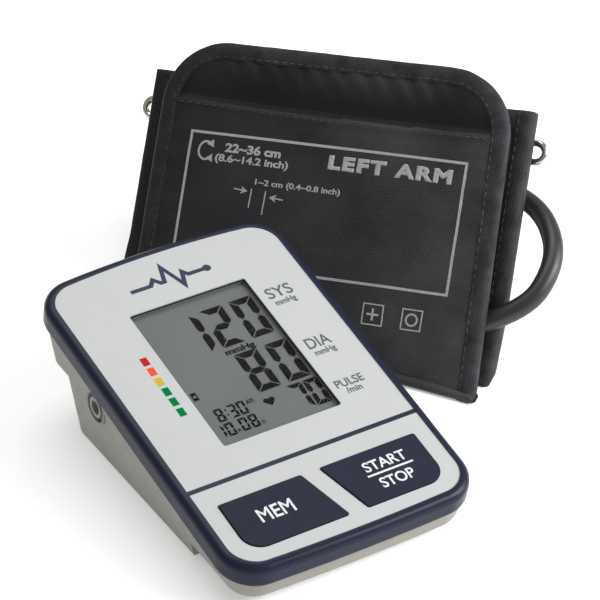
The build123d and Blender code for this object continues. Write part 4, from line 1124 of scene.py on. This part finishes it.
def add_stitch(build, start, ahead, sign):
    across = Vector((-ahead.y, ahead.x, 0))
    rings = []
    for part, swell in ((0.0, 0.3), (0.2, 1.0), (0.8, 1.0), (1.0, 0.3)):
        middle = start + ahead * STITCH_LONG * part + Vector((0, 0, sign * 0.16 * (swell - 0.6)))
        ring = []
        for side in range(6):
            angle = 2 * math.pi * side / 6
            spoke = across * math.cos(angle) + Vector((0, 0, math.sin(angle)))
            ring.append(build.verts.new(middle + spoke * STITCH_R * swell))
        rings.append(ring)
    for ring, after in zip(rings, rings[1:]):
        for i in range(6):
            j = (i + 1) % 6
            build.faces.new((ring[i], ring[j], after[j], after[i]))
    build.faces.new(list(reversed(rings[0])))
    build.faces.new(rings[-1])


def add_bindings():
    rim = pouch_rim()
    add_tape("pouch_binding", rim, 0.0, -POUCH_T, "cuff_front_binding")
    thread_dashes("pouch_stitches", rim, 5.0, ((0.2, 1), (-POUCH_T - 0.2, -1)))
    left = side_rim(REAR_LEFT, REAR_TOP - 0.3, math.pi)
    right = side_rim(REAR_RIGHT, REAR_TOP - 0.3, 0.0)
    back = REAR_AT - REAR_T
    add_tape("rear_binding_right", right, REAR_AT, back, "cuff_rear_binding", rear_swing)
    add_tape("rear_binding_left", left, REAR_AT, back, None, rear_swing)
    for name, side in (("left", left), ("right", right)):
        depths = ((REAR_AT + 0.2, 1), (back - 0.2, -1))
        thread_dashes(f"rear_stitches_{name}", side, 5.0, depths, rear_swing)
    seam = [(x, seam_line(x) - 1.2, math.pi / 2) for x in range(-133, -11, 2)]
    thread_dashes("pocket_stitches", seam, 0.0, ((0.75, 1),))


add_panels()
add_bindings()

# ---- cuff: printing --------------------------------------------------------------------------------


CUFF_PRINT_T = 0.04
PRINT_LIFT = 0.06  # middle of the ink above the cloth
LONGEST_EDGE = 2.2  # of the printing, so that it follows the folds


def drape(piece_mesh):
    """Cuts printing on the pouch small enough to follow its folds, and lays it on the cloth."""
    build = bmesh.new()
    build.from_mesh(piece_mesh)
    bmesh.ops.triangulate(build, faces=build.faces)
    for _ in range(9):
        long_edges = [edge for edge in build.edges if edge.calc_length() > LONGEST_EDGE]
        if not long_edges:
            break
        bmesh.ops.subdivide_edges(build, edges=long_edges, cuts=1)
        bmesh.ops.triangulate(build, faces=build.faces)
    for vertex in build.verts:
        vertex.co.z += pouch_height(vertex.co.x, vertex.co.y) + PRINT_LIFT
    build.to_mesh(piece_mesh)
    build.free()
    piece_mesh.transform(CUFF)


def cuff_words(name, words, middle, height, width, bold=0.14, spacing=1.0):
    mesh = letters(words, height, width, bold, spacing)
    mesh.transform(Matrix.Translation((*middle, 0)))
    drape(mesh)
    return link_piece(name, mesh, ink_cuff)


def cuff_shapes(name, shapes):
    mesh = plates(name, shapes, -CUFF_PRINT_T / 2, CUFF_PRINT_T / 2)
    drape(mesh)
    return link_piece(name, mesh, ink_cuff)


def smooth_line(points, per_span=6):
    """A rounded line through the points."""
    last = len(points) - 1
    result = []
    for i in range(last):
        p0, p1, p2, p3 = (Vector(points[min(max(k, 0), last)]) for k in (i - 1, i, i + 1, i + 2))
        for step in range(per_span):
            t = step / per_span
            a = 2 * p1 + (p2 - p0) * t
            b = (2 * p0 - 5 * p1 + 4 * p2 - p3) * t * t
            c = (3 * p1 - p0 - 3 * p2 + p3) * t * t * t
            result.append(tuple((a + b + c) / 2))
    result.append(tuple(points[-1]))
    return result


def arrow(tip, length, heading):
    """A thin shaft with a broad head."""
    turn = Matrix.Rotation(math.radians(heading), 2)
    shaft = [(-length, -0.25), (-1.5, -0.25), (-1.5, 0.25), (-length, 0.25)]
    head = [(-2.8, -1.5), (0, 0), (-2.8, 1.5), (-2.1, 0)]
    return [[tuple(turn @ Vector(p) + Vector(tip)) for p in part] for part in (shaft, head)]


GLYPH_Y, GLYPH_HALF, PLUS_X, RING_X = 27.2, 3.7, -44.1, -29.5


def add_cuff_print():
    line = []
    x0, y0, x1, y1 = -126.3, 37.3, -17.5, 86.4
    line.append(rectangle(x0, y0, x1, y0 + 1))
    line.append(rectangle(x0, y1 - 1, x1, y1))
    line.append(rectangle(x0, y0, x0 + 1, y1))
    line.append(rectangle(x1 - 1, y0, x1, y1))
    cuff_shapes("print_frame", line)
    marks = ribbon([(-98.4, 59.8), (-98.1, 67)], 0.5) + ribbon([(-92.8, 57.9), (-92.5, 66.8)], 0.5)
    marks += arrow((-99.6, 65.9), 5.6, -4) + arrow((-90.9, 64.6), 5.6, 176)
    cuff_shapes("print_marks", marks)
    bend = [math.radians(62 + 230 * step / 20) for step in range(21)]
    turn = ribbon([(-119 + 2.9 * math.cos(t), 79.2 + 3.4 * math.sin(t)) for t in bend], 0.8)
    turn.append([(-116.0, 80.6), (-116.4, 83.6), (-119.0, 81.7)])
    turn.append([(-116.2, 78.2), (-118.6, 76.4), (-115.9, 75.0)])
    cuff_shapes("print_turn", turn)
    cuff_words("print_range", "22~36 cm", (-100.3, 81.1), 3.1, 22.4, 0.2)
    cuff_words("print_range_inch", "(8.6~14.2 inch)", (-100.2, 77.1), 2.6, 29.4, 0.13)
    cuff_words("print_gap", "1~2 cm (0.4~0.8 inch)", (-80.5, 69.7), 2.1, 33.5, 0.09)
    cuff_words("print_side", "LEFT ARM", (-46.4, 80.3), 4.7, 47.6, 0.42, 1.22)
    glyphs = []
    for middle in (PLUS_X, RING_X):
        square = rectangle(
            middle - GLYPH_HALF, GLYPH_Y - GLYPH_HALF, middle + GLYPH_HALF, GLYPH_Y + GLYPH_HALF
        )
        glyphs += ribbon(square + square[:1], 0.5)
    glyphs += ribbon([(PLUS_X, GLYPH_Y - 2.2), (PLUS_X, GLYPH_Y + 2.2)], 0.8)
    glyphs += ribbon([(PLUS_X - 2.2, GLYPH_Y), (PLUS_X + 2.2, GLYPH_Y)], 0.8)
    ring = circle(RING_X, GLYPH_Y, 2.1, 20)
    glyphs += ribbon(ring + ring[:1], 0.7)
    cuff_shapes("print_glyphs", glyphs)


add_cuff_print()

# ---- cuff: strip on the table, leg, fastening pads and ring sleeve --------------------
LEG_LEFT, LEG_RIGHT, LEG_FOOT = -146.0, -42.0, 91.0
LEG_HIGH, LEG_BEND, LEG_T = 68.0, 49.0, 3.0
PAD_T = 1.0
GROUND = plane_matrix(CUFF_ORIGIN, along, behind)
LEANED = plane_matrix(CUFF_ORIGIN, along, upward)


def rounded_half(a, b, width, length, half):
    """Half the thickness of a sheet, rounded off at its rim; a and b run from 0 to 1."""
    inside = min(a * width, (1 - a) * width, b * length, (1 - b) * length)
    if inside >= half:
        return half
    return math.sqrt(max(half * half - (half - inside) ** 2, 0.0))


def fine_ends(part, share=0.12):
    """Sets grid lines closer together in the first and last share of a sheet."""
    return part - (1 - share) * math.sin(2 * math.pi * part) / (2 * math.pi)


def floor_spot(a, b, side):
    a, b = fine_ends(a), fine_ends(b)
    left = POUCH_LEFT + (LEG_LEFT - POUCH_LEFT) * b
    right = POUCH_FOOT_RIGHT + (LEG_RIGHT - POUCH_FOOT_RIGHT) * b
    half = rounded_half(a, b, 120, LEG_FOOT, FLOOR_T / 2)
    middle = FLOOR_T / 2 + 0.1
    wave_up = 0.3 * crease(a * 130, b * 90, 20, 40, 16, 2.7) * (half / 1.5) if side > 0 else 0
    height = middle + side * half * 0.98 + wave_up - 0.15 * (side > 0)
    return (left + (right - left) * a, LEG_FOOT * b - 0.6 * (1 - b), max(height, 0.05))


LEG_LOWER = (Vector((67.6, 26.5)), Vector((88.2, 4.4)))  # behind and above, to its foot


def leg_middle(part):
    """The bent centre line of the leg, in the cuff's end view: distance behind, height."""
    depth = -REAR_AT + REAR_T + 2 * PAD_T + LEG_T / 2

    def spot(up):
        back = up * math.cos(LEAN) + depth * math.sin(LEAN)
        return Vector((back, up * math.sin(LEAN) - depth * math.cos(LEAN)))

    bent = [spot(LEG_HIGH), spot(60), spot(LEG_BEND + 2), *LEG_LOWER]
    line = smooth_line(bent, 12)
    place = part * (len(line) - 1)
    index = min(int(place), len(line) - 2)
    return Vector(line[index]).lerp(Vector(line[index + 1]), place - index)


def leg_spot(a, b, side):
    a, b = fine_ends(a), fine_ends(b)
    middle = leg_middle(b)
    heading = (leg_middle(min(b + 0.03, 1)) - leg_middle(max(b - 0.03, 0))).normalized()
    half = rounded_half(a, b, 104, 72, LEG_T / 2)
    fold = 0.35 * crease(a * 104, b * 70, 75, 40, 14, 8.4) * (half / 1.5) if side > 0 else 0
    spot = middle + Vector((-heading.y, heading.x)) * (side * half + fold - 0.2 * (side > 0))
    return (LEG_LEFT + (LEG_RIGHT - LEG_LEFT) * a, spot.x, max(spot.y, FLOOR_T - 0.5))


def pad_spot(depth):
    def spot(a, b, side):
        a, b = fine_ends(a), fine_ends(b)
        x = LEG_LEFT + 4 + (LEG_RIGHT - LEG_LEFT - 8) * a
        y = LEG_BEND + 1 + (LEG_HIGH - LEG_BEND - 2) * b
        half = rounded_half(a, b, 96, 17, PAD_T / 2)
        return (x, y, -depth - PAD_T / 2 + side * half * 0.98)

    return spot


SLEEVE_LEFT, SLEEVE_LONG = -134.0, 114.0


def sleeve_spot(a, b, side):
    """Cloth folded over the ring's bar: a runs along the bar and b round the fold."""
    x = SLEEVE_LEFT + SLEEVE_LONG * a
    end = min(a, 1 - a) * SLEEVE_LONG
    plump = 1 - 0.12 * (1 - ease(end / 2.0))
    angle = math.pi * b
    out = (3.3 if side > 0 else 2.95) * plump
    wobble = 1 + 0.05 * crease(x, b * 8, 80, 10, 4, 6.6) * (side > 0)
    y = 99.2 + out * math.cos(angle) * wobble * (1.0 + 0.35 * (b > 0.5))
    z = -20.4 - out * math.sin(angle) * wobble * 1.7
    return (x, y, z)


def two_sided(spot):
    return (lambda a, b: spot(a, b, 1)), (lambda a, b: spot(a, b, -1))


def add_strap_parts():
    floor_strip = closed_sheet("floor_strip", *two_sided(floor_spot), 60, 60, GROUND, nylon)
    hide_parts("cuff_floor_strip")
    leg = closed_sheet("prop_leg", *two_sided(leg_spot), 60, 60, GROUND, nylon)
    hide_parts("cuff_leg")
    near = -REAR_AT + REAR_T
    pads = (("loop_pad", "loop_patch", near), ("hook_pad", "hook_patch", near + PAD_T))
    for node, name, depth in pads:
        patch = closed_sheet(name, *two_sided(pad_spot(depth)), 30, 16, LEANED, hooks)
        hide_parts(node)
    sleeve = closed_sheet("ring_loop", *two_sided(sleeve_spot), 60, 20, CUFF, tape)
    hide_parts("ring_sleeve")
    seam = [(x, 94.9, 0.0) for x in range(-132, -21, 2)]
    thread_dashes("ring_loop_stitches", seam, 0.0, ((-21.0, -1),))


add_strap_parts()
